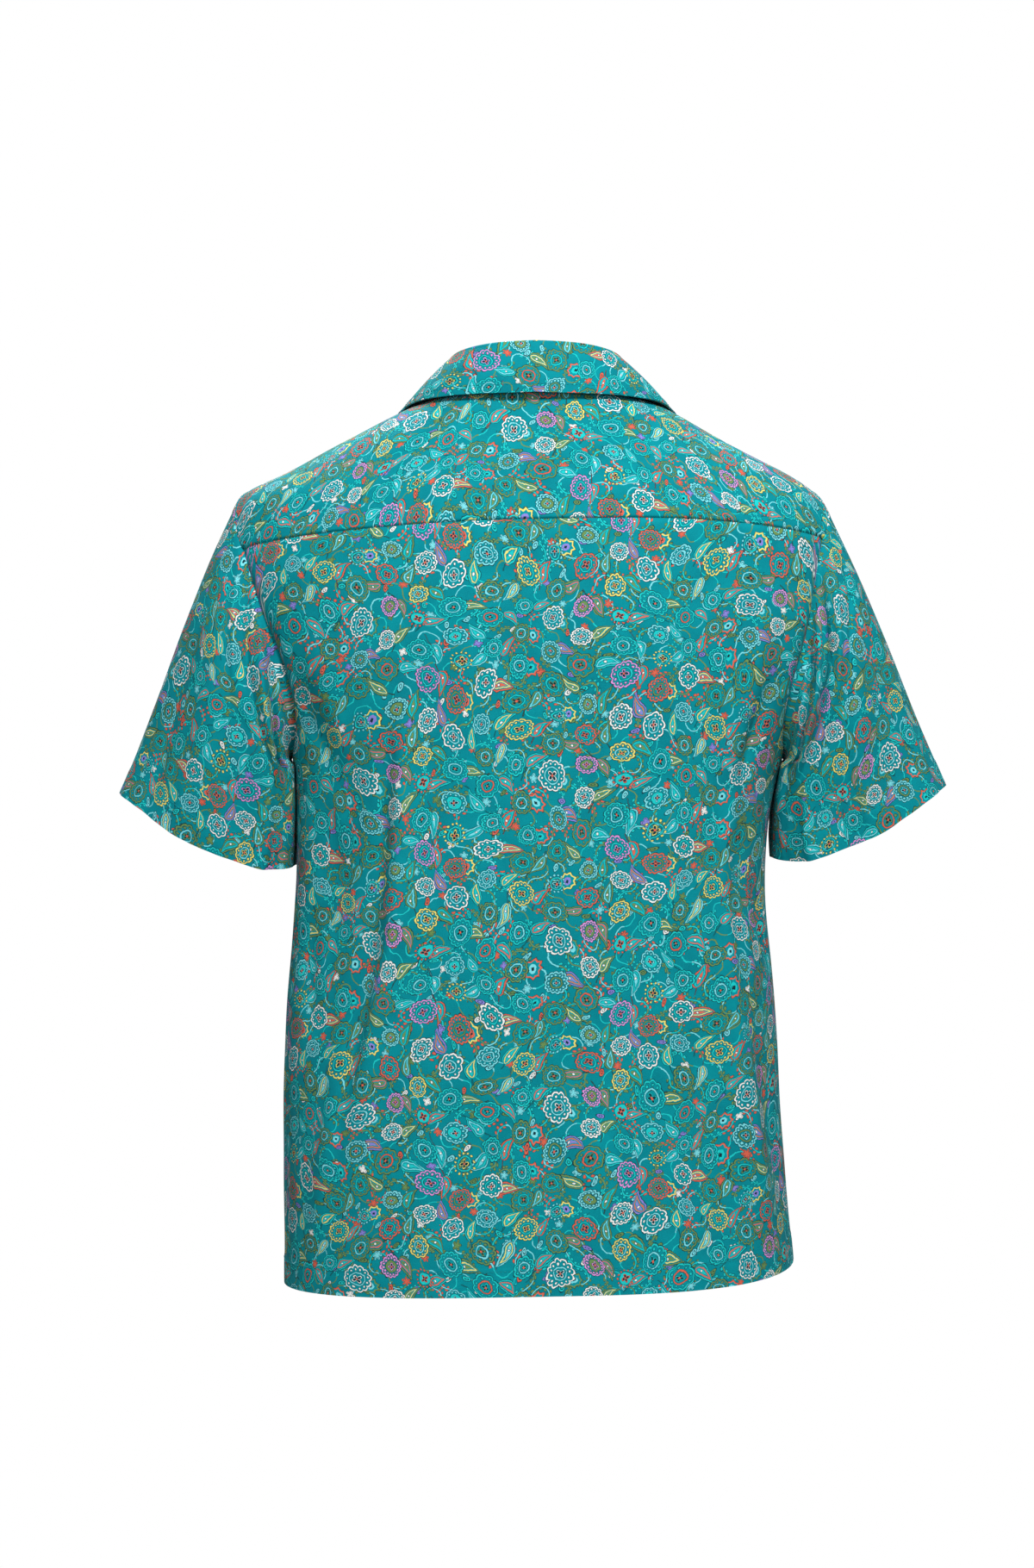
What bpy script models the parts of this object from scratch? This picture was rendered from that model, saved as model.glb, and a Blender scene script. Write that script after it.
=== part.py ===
"""Short-sleeved camp-collar shirt, buttoned up and filled out as worn, open at neck, cuffs and hem.

+Z is up, the front faces -Y and the wearer's left is +X. The origin is the middle of the neck
opening, at the height of the back neck seam. Sizes below are in millimetres.

The body of the shirt is one smooth form, given by horizontal sections. A point on it has an angle
(0 at the left side, 90 degrees at the middle of the back, 270 at the middle of the front) and a
height. Each panel is a grid on that form between its seams, given a wall and set back at its edges.
"""

import math

import bpy
import numpy as np

METRES = 0.001  # one millimetre, for the meshes

WALL = 1.5  # one layer of cloth with its turnings
SEAM_GAP = 0.3  # between two panels along their seam
LAYER_STEP = 2.7  # from the middle of a panel to the middle of the cloth that lies on it
LEFT, RIGHT = 1, -1
BACK, FRONT = 1, -1

# Horizontal sections of the body: half widths to the left and right, depths behind and in front of
# the origin, and squareness, which is 2 for an ellipse and more for a boxier curve.
# Columns: height, left, right, back, front, squareness.
SECTIONS = np.array(
    [
        (0, 62, 62, 62, 9, 2.2),
        (-5, 74, 75, 64.5, 14, 2.2),
        (-17, 101, 103, 68.5, 24, 2.3),
        (-41, 149, 146, 76, 41, 2.4),
        (-68, 200, 196, 85, 59, 2.5),
        (-82, 226, 217, 89, 68, 2.5),
        (-95, 236, 228, 92, 77, 2.6),
        (-120, 242, 235, 97, 92, 2.6),
        (-150, 239, 235, 101, 108, 2.6),
        (-180, 229, 231, 104, 119, 2.6),
        (-215, 213, 220, 106, 127, 2.6),
        (-250, 199, 205, 107, 131, 2.6),
        (-285, 189, 191, 108, 132, 2.6),
        (-330, 185, 181, 109, 131, 2.6),
        (-393, 186, 178, 111, 129, 2.6),
        (-465, 192, 184, 114, 127, 2.6),
        (-567, 195, 190, 119, 125, 2.6),
        (-634, 195, 195, 123, 126, 2.6),
        (-710, 194, 203, 127, 127, 2.6),
    ],
    float,
)

# The hem round the body. Columns: degrees, height.
HEM = np.array(
    [
        (0, -690),
        (45, -691),
        (90, -688),
        (130, -684),
        (155, -677),
        (180, -672),
        (215, -675),
        (270, -683),
        (320, -688),
        (360, -690),
    ],
    float,
)

# The armhole seam seen from the side, from the underarm up the back, over the shoulder and down.
# Columns: depth behind the origin, height.
ARMHOLE_BACK = [(0, -285), (26, -280), (46, -257), (56, -222), (58, -180)]
ARMHOLE_OVER = [(33, -98), (6, -82), (-14, -85)]
ARMHOLE_FRONT = [(-44, -122), (-54, -168), (-52, -216), (-41, -256), (-23, -279)]
YOKE_CORNER_BACK = {LEFT: (50, -126), RIGHT: (47, -118)}
YOKE_CORNER_FRONT = (-30, -99)

# The back yoke seam between the armholes. Columns: distance to the left, height.
YOKE_SEAM = [(93, -110), (0, -106), (-76, -105), (-155, -108)]

# The neck seam from the gorge, where collar and lapel meet, round to the middle of the back.
# Columns: distance out from the middle and height, then degrees and height round the side.
GORGE = (45, -45)
NECK_FRONT = [(57, -31)]
YOKE_NECK_CORNER = (66, -18)
NECK_SIDE = [(-25, -6.8), (0, -4.8), (30, -3.6), (62, -1.2)]

# The fronts overlap, the left one outside, up to the break, where the lapels turn back.
LAP = 17  # each front goes this far past the middle
BREAK_HEIGHT = -205
LAP_STEP = 2.9  # the right front lies this much further in under the left one
LAP_FADE = (50, 32)  # from the first of these distances from the middle to the second
LAP_TOP = (-122, -157)  # and from the first of these heights to the second
NOTCH, LAPEL_POINT = (68, -64), (96, -98)
LAPEL_CLEAR = 1.2  # between the lapel's top edge and the collar
LAPEL_START = {LEFT: (-190, -190), RIGHT: (-156, -179)}  # heights at the roll and the outer edge

# The collar, by the way along the neck seam from the middle of the back (0) to the gorge (1):
# the top of its roll, then its outer edge by angle, height and distance from the body.
# Columns: along, roll out, roll depth, roll height, degrees, edge height, off.
COLLAR = np.array(
    [
        (0.00, 0, 57.5, 32, 90, -10, 13),
        (0.24, 35, 49, 30.5, 62, -12, 11),
        (0.45, 57, 29, 27, 30, -14.5, 6.5),
        (0.62, 65, 1, 21, 0, -17.5, 2.7),
        (0.76, 61.5, -19, 6, -30, -27, 2.7),
        (0.88, 54, -33, -14, -52, -48, 2.7),
        (1.00, 45.5, -46, -41.5, -63.4, -72, 2.7),
    ],
    float,
)
ROLL_RADIUS = 2.2
ROLL_TIGHTENING = 8  # the roll's radius falls by this much along the collar, down to two layers
COLLAR_BULGE = 2.5  # the fall's swell between roll and edge
NOTCH_REACH = 0.12  # how far along the collar its end's bend at the notch is felt

# A short sleeve: its hem is a tilted oval, its cloth runs from the armhole to it.
# Columns: distance out and height of the outer tip, then of the inner corner.
SLEEVE_HEM = {LEFT: (324, -313, 190.5, -369), RIGHT: (319, -307, 187, -363)}
SLEEVE_HALF_DEPTH, SLEEVE_FORWARD, SLEEVE_BACK_DROP = 57, 10, 14
SLEEVE_SQUARENESS = 3.4  # of the oval's inner half, which the arm presses flat against the body
SLEEVE_CLEAR = 3.1  # least distance from the middle of the body's cloth to that of the sleeve's
PRESSED = (3, 24)  # cloth nearer than the first of these is pressed close; past the second, none is
PRESS_START = 9  # depth below the underarm at which the press is full
PRESS_END, HEM_PRESS = 0.5, 0.55  # the press weakens from here along the sleeve to this share
# The way that the cloth leaves the armhole and reaches the hem, by the angle round the sleeve
# (0 at the shoulder, 90 at the back, 180 at the underarm). A shorter arrow turns sooner.
# Columns: degrees, then out, back and up at the armhole, then the same at the hem.
SLEEVE_RAYS = np.array(
    [
        (0, 0.46, 0.0, -0.89, 0.40, 0.0, -0.92),
        (90, 0.40, 0.30, -0.86, 0.33, -0.12, -0.93),
        (180, 0.22, 0.0, -0.28, 0.08, 0.0, -1.00),
        (270, 0.40, -0.35, -0.84, 0.33, -0.12, -0.93),
        (360, 0.46, 0.0, -0.89, 0.40, 0.0, -0.92),
    ],
    float,
)

# The largest soft folds of the body, each a ridge (or a trough, where its rise is negative) along
# a path of three points. Columns: side, then distance to the left and height of its top, middle
# and foot, then width and rise.
BODY_FOLDS = [
    (BACK, 98, -235, 105, -400, 151, -600, 15, 5.0),
    (BACK, 118, -250, 126, -410, 168, -590, 13, -3.5),
    (BACK, -132, -340, -141, -470, -184, -670, 14, 4.5),
    (BACK, -112, -350, -120, -480, -150, -660, 14, -3.0),
    (FRONT, 120, -190, 112, -380, 128, -610, 16, 4.5),
    (FRONT, 92, -240, 88, -400, 96, -600, 15, -3.0),
    (FRONT, -118, -200, -104, -400, -120, -640, 16, 4.0),
]
FOLD_MIDDLE, FOLD_STEPS = 0.45, 60  # share of the path at its middle point, and its steps
# Folds along a sleeve. Columns: degrees round it at top and foot, share of the length where it
# starts and ends, width in degrees, rise.
SLEEVE_FOLDS = [
    (128, 118, 0.02, 0.62, 11, 4.0),
    (66, 84, 0.10, 1.05, 12, 3.0),
    (-70, -84, 0.10, 1.05, 13, 3.0),
    (-128, -112, 0.05, 0.70, 12, 3.0),
]

BUTTON_HEIGHTS = (-222, -314, -406, -498, -590)
# Half of a button's outline, turned about its axis: radius and height, from the back to the face.
BUTTON_PROFILE = [(0, -1.1), (5.2, -1.1), (6.0, -0.4), (5.7, 1.1), (4.4, 1.1), (3.6, 0.5), (0, 0.5)]
BUTTON_SIDES = 16
BUTTON_CLEAR = 0.35  # between a button and the cloth under it

ATTACHED = ("sleeve_left", "sleeve_right", "collar")  # sewn to the body's own panels

# Cells of the grids.
SIDE_ROWS, ARMHOLE_ROWS, OVER_CELLS = 12, 9, 9
BACK_CELLS, NECK_CELLS, YOKE_ROWS = 30, 6, 8
BREAK_ROWS = 14
SLEEVE_ROWS = 11
FALL_ROWS = 4
LAPEL_ROWS, LAPEL_CELLS = 9, 5
EVENING_STEPS = 150

COTTON_COLOUR, COTTON_ROUGHNESS = (0.012, 0.27, 0.31), 0.85
COLLAR_COLOUR = (0.015, 0.31, 0.35)
BUTTON_COLOUR, BUTTON_ROUGHNESS = (0.55, 0.42, 0.28), 0.35


# ---- Curves ----


def spline(knots, values, at):
    """Natural cubic spline: its second derivative runs straight from row to row, and ends at 0."""
    knots, at = np.asarray(knots, float), np.asarray(at, float)
    values = np.asarray(values, float).reshape(len(knots), -1)
    gaps = np.diff(knots)
    slopes = np.diff(values, axis=0) / gaps[:, None]
    system, change = np.eye(len(knots)), np.zeros_like(values)
    for row in range(1, len(knots) - 1):
        system[row, row - 1 : row + 2] = gaps[row - 1], 2 * (gaps[row - 1] + gaps[row]), gaps[row]
        change[row] = 6 * (slopes[row] - slopes[row - 1])
    bend = np.linalg.solve(system, change)
    cell = np.clip(np.searchsorted(knots, at) - 1, 0, len(gaps) - 1)
    gap = gaps[cell][..., None]
    past, left = (at - knots[cell])[..., None], (knots[cell + 1] - at)[..., None]
    curved = (bend[cell] * left**3 + bend[cell + 1] * past**3) / (6 * gap)
    start = values[cell] / gap - bend[cell] * gap / 6
    end = values[cell + 1] / gap - bend[cell + 1] * gap / 6
    return curved + start * left + end * past


def lengths(points):
    """Way from the first point of a line to each of its points."""
    return np.concatenate([[0], np.cumsum(np.linalg.norm(np.diff(points, axis=0), axis=1))])


def unit(vectors):
    return vectors / np.linalg.norm(vectors, axis=-1, keepdims=True)


def ramp(value, start, end):
    """Smooth step from 0 at start to 1 at end."""
    share = np.clip((value - start) / (end - start), 0, 1)
    return share * share * (3 - 2 * share)


# ---- The form of the body ----


def section(height):
    """The section's columns at a height."""
    inside = np.clip(height, SECTIONS[-1, 0], SECTIONS[0, 0])
    return np.moveaxis(spline(-SECTIONS[:, 0], SECTIONS[:, 1:], -inside), -1, 0)


def form(angle, height):
    """Point of the body's form: the section's curve |x/width|^n + |y/depth|^n = 1 at an angle."""
    left, right, back, front, squareness = section(height)
    across, along = np.cos(angle), np.sin(angle)
    reach = (np.abs(across) ** squareness + np.abs(along) ** squareness) ** (-1 / squareness)
    x = reach * across * np.where(across > 0, left, right)
    y = reach * along * np.where(along > 0, back, front)
    return np.stack([x, y, np.broadcast_to(height, x.shape)], axis=-1)


def form_normal(angle, height):
    """Outward direction of the form, from its slopes along a section and upwards."""
    turn, rise = 0.002, 0.5
    height = np.minimum(height, SECTIONS[0, 0] - rise)
    around = form(angle + turn, height) - form(angle - turn, height)
    upward = form(angle, height + rise) - form(angle, height - rise)
    return unit(np.cross(around, upward))


def angle_across(side, out, height, facing):
    """Angle of the form's point at a distance from the middle towards a side."""
    left, right, _, _, squareness = section(np.asarray(height, float))
    width = np.where(np.asarray(out) * side > 0, left, right)
    share = np.clip(np.asarray(out) / width, -1, 1)
    other = (1 - np.abs(share) ** squareness) ** (1 / squareness)
    local = np.arctan2(facing * other, share)
    return local if side == LEFT else math.pi - local


def angle_at_depth(side, depth, height):
    """Angle of the form's point at a depth behind the origin, on a side."""
    _, _, back, front, squareness = section(np.asarray(height, float))
    share = np.asarray(depth) / np.where(np.asarray(depth) > 0, back, front)
    other = (1 - np.abs(share) ** squareness) ** (1 / squareness)
    local = np.arctan2(share, other)
    return local if side == LEFT else math.pi - local


def fold_rises(points):
    """How far the folds lift each point of the form: rise times exp(-(distance/width)^2)."""
    rises = np.zeros(points.shape[:-1])
    for facing, top_left, top, mid_left, mid, foot_left, foot, width, rise in BODY_FOLDS:
        down = np.linspace(0, 1, FOLD_STEPS)
        stops = [(top_left, top), (mid_left, mid), (foot_left, foot)]
        route = spline([0, FOLD_MIDDLE, 1], stops, down)
        path = form(angle_across(LEFT, route[:, 0], route[:, 1], facing), route[:, 1])
        away = np.linalg.norm(points[..., None, :] - path, axis=-1)
        nearest = away.argmin(axis=-1)
        fading = np.sin(math.pi * np.clip(down, 0.001, 0.999)) ** 0.7
        rises += rise * fading[nearest] * np.exp(-((away.min(axis=-1) / width) ** 2))
    return rises


def skin(angle, height):
    """Middle of the cloth on the body: the form, lifted by the folds."""
    points = form(angle, height)
    return points + form_normal(angle, height) * fold_rises(points)[..., None]


# ---- Seam lines, as rows of angle and height ----


def equal_steps(knots, rows, first, last, cells):
    """Points at equal steps on the spline through rows, between two of the knots."""
    fine = np.linspace(first, last, 600)
    curve = spline(knots, rows, fine)
    way = lengths(form(curve[:, 0], curve[:, 1]))
    at = np.interp(np.linspace(0, way[-1], cells + 1), way, fine)
    return spline(knots, rows, at)


def seam(rows, cells, first=0, last=-1):
    """Equal steps along the curve through rows of angle and height, from one row to another."""
    rows = np.asarray(rows, float)
    knots = lengths(form(rows[:, 0], rows[:, 1]))
    return equal_steps(knots, rows, knots[first], knots[last], cells)


def armhole(side):
    """Three runs of the armhole: up the back to the yoke, over the shoulder, down the front."""
    table = [*ARMHOLE_BACK, YOKE_CORNER_BACK[side], *ARMHOLE_OVER, YOKE_CORNER_FRONT, *ARMHOLE_FRONT]
    rows = np.array([(angle_at_depth(side, depth, height), height) for depth, height in table])
    corner_back = len(ARMHOLE_BACK)
    corner_front = corner_back + 1 + len(ARMHOLE_OVER)
    count = len(rows)
    thrice = np.concatenate([rows, rows, rows, rows[:1]])
    knots = lengths(form(thrice[:, 0], thrice[:, 1]))
    stops = [count, count + corner_back, count + corner_front, 2 * count]
    cells = (ARMHOLE_ROWS, OVER_CELLS, ARMHOLE_ROWS)
    return [
        equal_steps(knots, thrice, knots[start], knots[end], number)
        for start, end, number in zip(stops[:-1], stops[1:], cells)
    ]


def hem(first_degrees, last_degrees, cells):
    """The hem between two angles of the body."""
    degrees = np.linspace(first_degrees, last_degrees, cells + 1)
    table = np.concatenate([HEM[:-1] - (360, 0), HEM[:-1], HEM + (360, 0)])
    height = spline(table[:, 0], table[:, 1], degrees)[:, 0]
    return np.stack([np.radians(degrees), height], axis=-1)


def neck_rows():
    """Rows of the whole neck seam, from the left gorge round the back to the right one."""
    halves = []
    for side in (LEFT, RIGHT):
        corner = [GORGE, *NECK_FRONT, YOKE_NECK_CORNER]
        half = [(angle_across(side, out, height, FRONT), height) for out, height in corner]
        for degrees, height in NECK_SIDE:
            angle = math.radians(degrees)
            half.append((angle if side == LEFT else math.pi - angle, height))
        halves.append(np.array(half))
    return np.concatenate([halves[0], [(math.pi / 2, 0.0)], halves[1][::-1]])


def yoke_front_seam(side):
    """From the armhole up to the neck, in front of the shoulder."""
    depth, height = YOKE_CORNER_FRONT
    low = (angle_at_depth(side, depth, height), height)
    high = (angle_across(side, *YOKE_NECK_CORNER, FRONT), YOKE_NECK_CORNER[1])
    middle_out = (YOKE_NECK_CORNER[0] + form(*map(np.array, low))[0] * side) / 2
    middle_height = (YOKE_NECK_CORNER[1] + height) / 2 + 1
    middle = (angle_across(side, middle_out, middle_height, FRONT), middle_height)
    return seam([low, middle, high], YOKE_ROWS)


def front_edge(side):
    """The front's free edge from the hem to the break, then the lapel's roll line to the gorge."""
    foot = hem(270, 270, 1)[0, 1]
    heights = np.linspace(foot, BREAK_HEIGHT, BREAK_ROWS + 1)
    straight = np.stack([angle_across(side, -LAP + 0 * heights, heights, FRONT), heights], axis=-1)
    roll_rows = SIDE_ROWS + ARMHOLE_ROWS - BREAK_ROWS
    return np.concatenate([straight, roll_line(side, BREAK_HEIGHT, GORGE[1], roll_rows)[1:]])


def roll_out(height):
    """Distance of the roll line from the middle: straight from the break to the gorge."""
    share = (height - BREAK_HEIGHT) / (GORGE[1] - BREAK_HEIGHT)
    return -LAP + share * (GORGE[0] + LAP)


def roll_line(side, low, high, cells):
    heights = np.linspace(low, high, cells + 1)
    return np.stack([angle_across(side, roll_out(heights), heights, FRONT), heights], axis=-1)


def in_front(side, corners, cells):
    """Straight runs between corners, given by distance out and height, each with its cells."""
    runs = [np.array(corners[:1], float)]
    for start, end, number in zip(corners[:-1], corners[1:], cells):
        runs.append(np.linspace(start, end, number + 1)[1:])
    places = np.concatenate(runs)
    return np.stack([angle_across(side, places[:, 0], places[:, 1], FRONT), places[:, 1]], axis=-1)


# ---- Panels, as grids of points ----


def patch(bottom, top, left, right):
    """Grid between four edges: the two straight blends of opposite edges, less that of corners.

    Then each inner point moves again and again to the mean of its four neighbours, which opens the
    cells at the underarm, where an edge turns a corner between two rows.
    """
    u = np.linspace(0, 1, len(bottom))[None, :, None]
    v = np.linspace(0, 1, len(left))[:, None, None]
    up = (1 - v) * bottom[None] + v * top[None]
    over = (1 - u) * left[:, None] + u * right[:, None]
    low = (1 - u) * bottom[0] + u * bottom[-1]
    high = (1 - u) * top[0] + u * top[-1]
    grid = up + over - (1 - v) * low - v * high
    for _ in range(EVENING_STEPS):
        beside = grid[1:-1, 2:] + grid[1:-1, :-2]
        grid[1:-1, 1:-1] = (beside + grid[2:, 1:-1] + grid[:-2, 1:-1]) / 4
    return grid


def on_skin(grid):
    return skin(grid[..., 0], grid[..., 1])


def side_seam(side):
    angle = 0.0 if side == LEFT else math.pi
    foot = hem(math.degrees(angle), math.degrees(angle), 1)[0, 1]
    heights = np.linspace(foot, ARMHOLE_BACK[0][1], SIDE_ROWS + 1)
    return np.stack([np.full_like(heights, angle), heights], axis=-1)


def back_panel():
    """From the hem to the yoke seam, between the side seams and the armholes."""
    left_hole, right_hole = armhole(LEFT)[0], armhole(RIGHT)[0]
    left = np.concatenate([side_seam(LEFT), left_hole[1:]])
    right = np.concatenate([side_seam(RIGHT), right_hole[1:]])
    return on_skin(patch(hem(0, 180, BACK_CELLS), yoke_seam(), left, right))


def yoke_seam():
    ends = [armhole(side)[0][-1] for side in (LEFT, RIGHT)]
    inner = [(angle_across(LEFT, out, height, BACK), height) for out, height in YOKE_SEAM]
    return seam([ends[0], *inner, ends[1]], BACK_CELLS)


def yoke_neck():
    """The yoke's part of the neck seam."""
    rows = neck_rows()
    corner = 1 + len(NECK_FRONT)
    return seam(rows, BACK_CELLS + 2 * OVER_CELLS, corner, len(rows) - 1 - corner)


def yoke_panel():
    """Over both shoulders: from the armholes and the back seam in to the neck."""
    left_over, right_over = armhole(LEFT)[1][::-1], armhole(RIGHT)[1]
    outer = np.concatenate([left_over[:-1], yoke_seam(), right_over[1:]])
    return on_skin(patch(outer, yoke_neck(), yoke_front_seam(LEFT), yoke_front_seam(RIGHT)))


def front_neck(side):
    """A front's part of the neck seam, from the yoke to the gorge."""
    rows = neck_rows()
    corner = 1 + len(NECK_FRONT)
    left = seam(rows, NECK_CELLS, 0, corner)[::-1]
    return left if side == LEFT else seam(rows, NECK_CELLS, len(rows) - 1 - corner, len(rows) - 1)


def front_grid(side):
    """A front's grid of angles and heights, from its side to its free edge."""
    down_front = armhole(side)[2][::-1]
    outer = np.concatenate([side_seam(side), down_front[1:]])
    inner = front_edge(side)
    top = np.concatenate([yoke_front_seam(side), front_neck(side)[1:]])
    low_degrees = np.degrees((outer[0, 0], inner[0, 0]))
    bottom = hem(*low_degrees, YOKE_ROWS + NECK_CELLS)
    inner[0] = bottom[-1]
    return patch(bottom, top, outer, inner)


def front_panel(side):
    """A front; near the middle the right one steps in, under the left one."""
    grid = front_grid(side)
    return on_skin(grid) + lap_step(side, grid)


def lap_step(side, grid):
    """The step in of the right front, as far as it is covered."""
    points, normals = form(grid[..., 0], grid[..., 1]), form_normal(grid[..., 0], grid[..., 1])
    if side == LEFT:
        return 0 * points
    covered = ramp(-points[..., 0], *LAP_FADE) * ramp(points[..., 2], *LAP_TOP)
    return -normals * (LAP_STEP * covered)[..., None]


def lapel_panel(side):
    """The turned-back corner of a front, lying on it, from the roll line to the lapel's edge."""
    roll_low, edge_low = LAPEL_START[side]
    share = (edge_low - BREAK_HEIGHT) / (LAPEL_POINT[1] - BREAK_HEIGHT)
    edge_start = (-LAP + share * (LAPEL_POINT[0] + LAP), edge_low)
    roll_start = (float(roll_out(roll_low)), roll_low)
    top_height = GORGE[1] - 2 * LAPEL_CLEAR
    gorge = (float(roll_out(top_height)), top_height)
    notch = (NOTCH[0], NOTCH[1] - LAPEL_CLEAR)
    half = LAPEL_CELLS // 2
    left = in_front(side, [roll_start, gorge], [LAPEL_ROWS])
    right = in_front(side, [edge_start, LAPEL_POINT], [LAPEL_ROWS])
    bottom = in_front(side, [roll_start, edge_start], [LAPEL_CELLS])
    top = in_front(side, [gorge, notch, LAPEL_POINT], [half, LAPEL_CELLS - half])
    grid = patch(bottom, top, left, right)
    lift = form_normal(grid[..., 0], grid[..., 1]) * LAYER_STEP
    return on_skin(grid) + lap_step(side, grid) + lift


def sleeve_panel(side):
    """A tube from the armhole seam to the hem's oval: a cubic along each line of the cloth."""
    runs = armhole(side)
    loop = np.concatenate([run[:-1] for run in runs])
    start = on_skin(loop)
    top = ARMHOLE_ROWS + OVER_CELLS // 2
    count = len(start)
    numbers = np.arange(count + 1)
    degrees = np.interp(numbers, [0, top, count], [180, 0, -180])[:-1]
    rays = spline(*ray_table(), degrees % 360)
    outward, arriving = rays[:, :3].copy(), rays[:, 3:].copy()
    for direction in (outward, arriving):
        direction[:, 0] *= side
    end = sleeve_hem(side, degrees)
    reach = np.linalg.norm(end - start, axis=1)[:, None]
    t = np.linspace(0, 1, SLEEVE_ROWS + 1)[:, None, None]
    away = (2 * t**3 - 3 * t**2 + 1) * start + (t**3 - 2 * t**2 + t) * outward * reach
    points = away + (3 * t**2 - 2 * t**3) * end + (t**3 - t**2) * arriving * reach
    points = points + sleeve_fold_lift(points, degrees, t[..., 0])
    points[1:] = pressed_to_body(points[1:], t[1:, :, 0])
    return points


def ray_table():
    """The rays repeated past both ends, so that the spline joins up."""
    before, after = SLEEVE_RAYS[:-1].copy(), SLEEVE_RAYS[1:].copy()
    before[:, 0] -= 360
    after[:, 0] += 360
    table = np.concatenate([before, SLEEVE_RAYS, after])
    return table[:, 0], table[:, 1:]


def sleeve_hem(side, degrees):
    """The hem's oval: its long axis runs from the outer tip to the inner corner."""
    tip_out, tip_height, inner_out, inner_height = SLEEVE_HEM[side]
    half_out, half_height = (tip_out - inner_out) / 2, (tip_height - inner_height) / 2
    across, along = np.cos(np.radians(degrees)), np.sin(np.radians(degrees))
    power = 2 / np.where(across < 0, SLEEVE_SQUARENESS, 2)
    across, along = (np.sign(part) * np.abs(part) ** power for part in (across, along))
    out = tip_out - half_out + half_out * across
    back = -SLEEVE_FORWARD + SLEEVE_HALF_DEPTH * along
    up = tip_height - half_height + half_height * across - SLEEVE_BACK_DROP * along
    return np.stack([side * out, back, up], axis=-1)


def pressed_to_body(points, t):
    """Lays the sleeve's inner side along the body's: distance, past clear, shrinks to a share."""
    distance, normal = off_body(points)
    press = 1 - (1 - HEM_PRESS) * ramp(t, PRESS_END, 1)
    share = 1 - press * (1 - ramp(distance, *PRESSED))
    wanted = SLEEVE_CLEAR + np.maximum(distance - SLEEVE_CLEAR, 0) * share
    below = ramp(ARMHOLE_BACK[0][1] - points[..., 2], 0, PRESS_START)
    return points + normal * (below * (wanted - distance))[..., None]


def sleeve_fold_lift(points, degrees, t):
    """Folds along a sleeve, as moves away from the middle of each ring."""
    outward = unit(points - points.mean(axis=1, keepdims=True))
    lift = np.zeros(points.shape[:2])
    for top_degrees, foot_degrees, start, end, width, rise in SLEEVE_FOLDS:
        share = np.clip((t - start) / (end - start), 0, 1)
        centre = top_degrees + (foot_degrees - top_degrees) * share
        away = (degrees - centre + 180) % 360 - 180
        lift += rise * np.sin(math.pi * share) ** 0.8 * np.exp(-((away / width) ** 2))
    return outward * lift[..., None]


def neck_seam():
    """The whole neck seam in the steps of the panels that it joins."""
    return np.concatenate([front_neck(LEFT)[::-1], yoke_neck()[1:], front_neck(RIGHT)[1:]])


def collar_panel():
    """Strip folded over along its roll: stand up from the neck seam, roll, fall outside."""
    neck = neck_seam()
    foot = on_skin(neck)
    way = lengths(foot)
    along = np.abs(way / way[-1] * 2 - 1)
    side = np.where(np.arange(len(neck)) < len(neck) / 2, LEFT, RIGHT)
    station = spline(COLLAR[:, 0], COLLAR[:, 1:], along)
    roll = station[:, :3] * np.stack([side, 0 * side + 1, 0 * side + 1], axis=-1)
    local, edge_height, off = np.radians(station[:, 3]), station[:, 4], station[:, 5]
    angle = np.where(side == LEFT, local, math.pi - local)
    edge = skin(angle, edge_height) + form_normal(angle, edge_height) * off[:, None]
    upward = unit(roll - foot)
    sideways = unit((edge - roll) - upward * ((edge - roll) * upward).sum(-1, keepdims=True))
    tightest = LAYER_STEP / 2
    radius = np.minimum(ROLL_RADIUS, tightest + (1 - along)[:, None] * ROLL_TIGHTENING)
    stand_top = roll - (sideways + upward) * radius
    fall_top = roll + (sideways - upward) * radius
    rows = [foot, (foot + stand_top) / 2, stand_top, roll]
    for share in np.linspace(0, 1, FALL_ROWS + 1):
        swell = COLLAR_BULGE * 4 * share * (1 - share) * (1 - along**3)
        rows.append((1 - share) * fall_top + share * edge + sideways * swell[:, None])
        rows[-1] += notch_shift(share, along, side)
    grid = np.stack(rows)
    grid[4:] = clear_of_body(grid[4:])
    return grid


def notch_shift(share, along, side):
    """Bends the collar's end, which runs straight from gorge to point, through the notch."""
    point_angle, point_height = math.radians(COLLAR[-1, 4]), COLLAR[-1, 5]
    point = form(np.array(point_angle), np.array(point_height))
    halfway = (np.array([GORGE[0], GORGE[1]]) + point[[0, 2]]) / 2
    out, up = np.array(NOTCH) - halfway
    amount = (1 - abs(2 * share - 1)) * np.clip((along - 1) / NOTCH_REACH + 1, 0, 1) ** 2
    return np.stack([side * out * amount, 0 * amount, up * amount], axis=-1)


def off_body(points):
    """Each point's distance out from the body's cloth, and the direction of that."""
    left, right, back, front, _ = section(points[..., 2])
    across = points[..., 0] / np.where(points[..., 0] > 0, left, right)
    along = points[..., 1] / np.where(points[..., 1] > 0, back, front)
    angle = np.arctan2(along, across)
    seat, normal = skin(angle, points[..., 2]), form_normal(angle, points[..., 2])
    return ((points - seat) * normal).sum(-1), normal


def clear_of_body(points):
    """Moves points out to where cloth lies on the body, if they are nearer to it."""
    distance, normal = off_body(points)
    short = np.where(points[..., 2] < 0, np.maximum(0, LAYER_STEP - distance), 0)
    return points + normal * short[..., None]


# ---- Walls ----


def grid_normals(points, tube):
    """Unit normals of a grid, from its slopes along and across."""
    if tube:
        padded = np.concatenate([points[:, -1:], points, points[:, :1]], axis=1)
        across = (padded[:, 2:] - padded[:, :-2]) / 2
    else:
        across = np.gradient(points, axis=1)
    return unit(np.cross(across, np.gradient(points, axis=0)))


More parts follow.
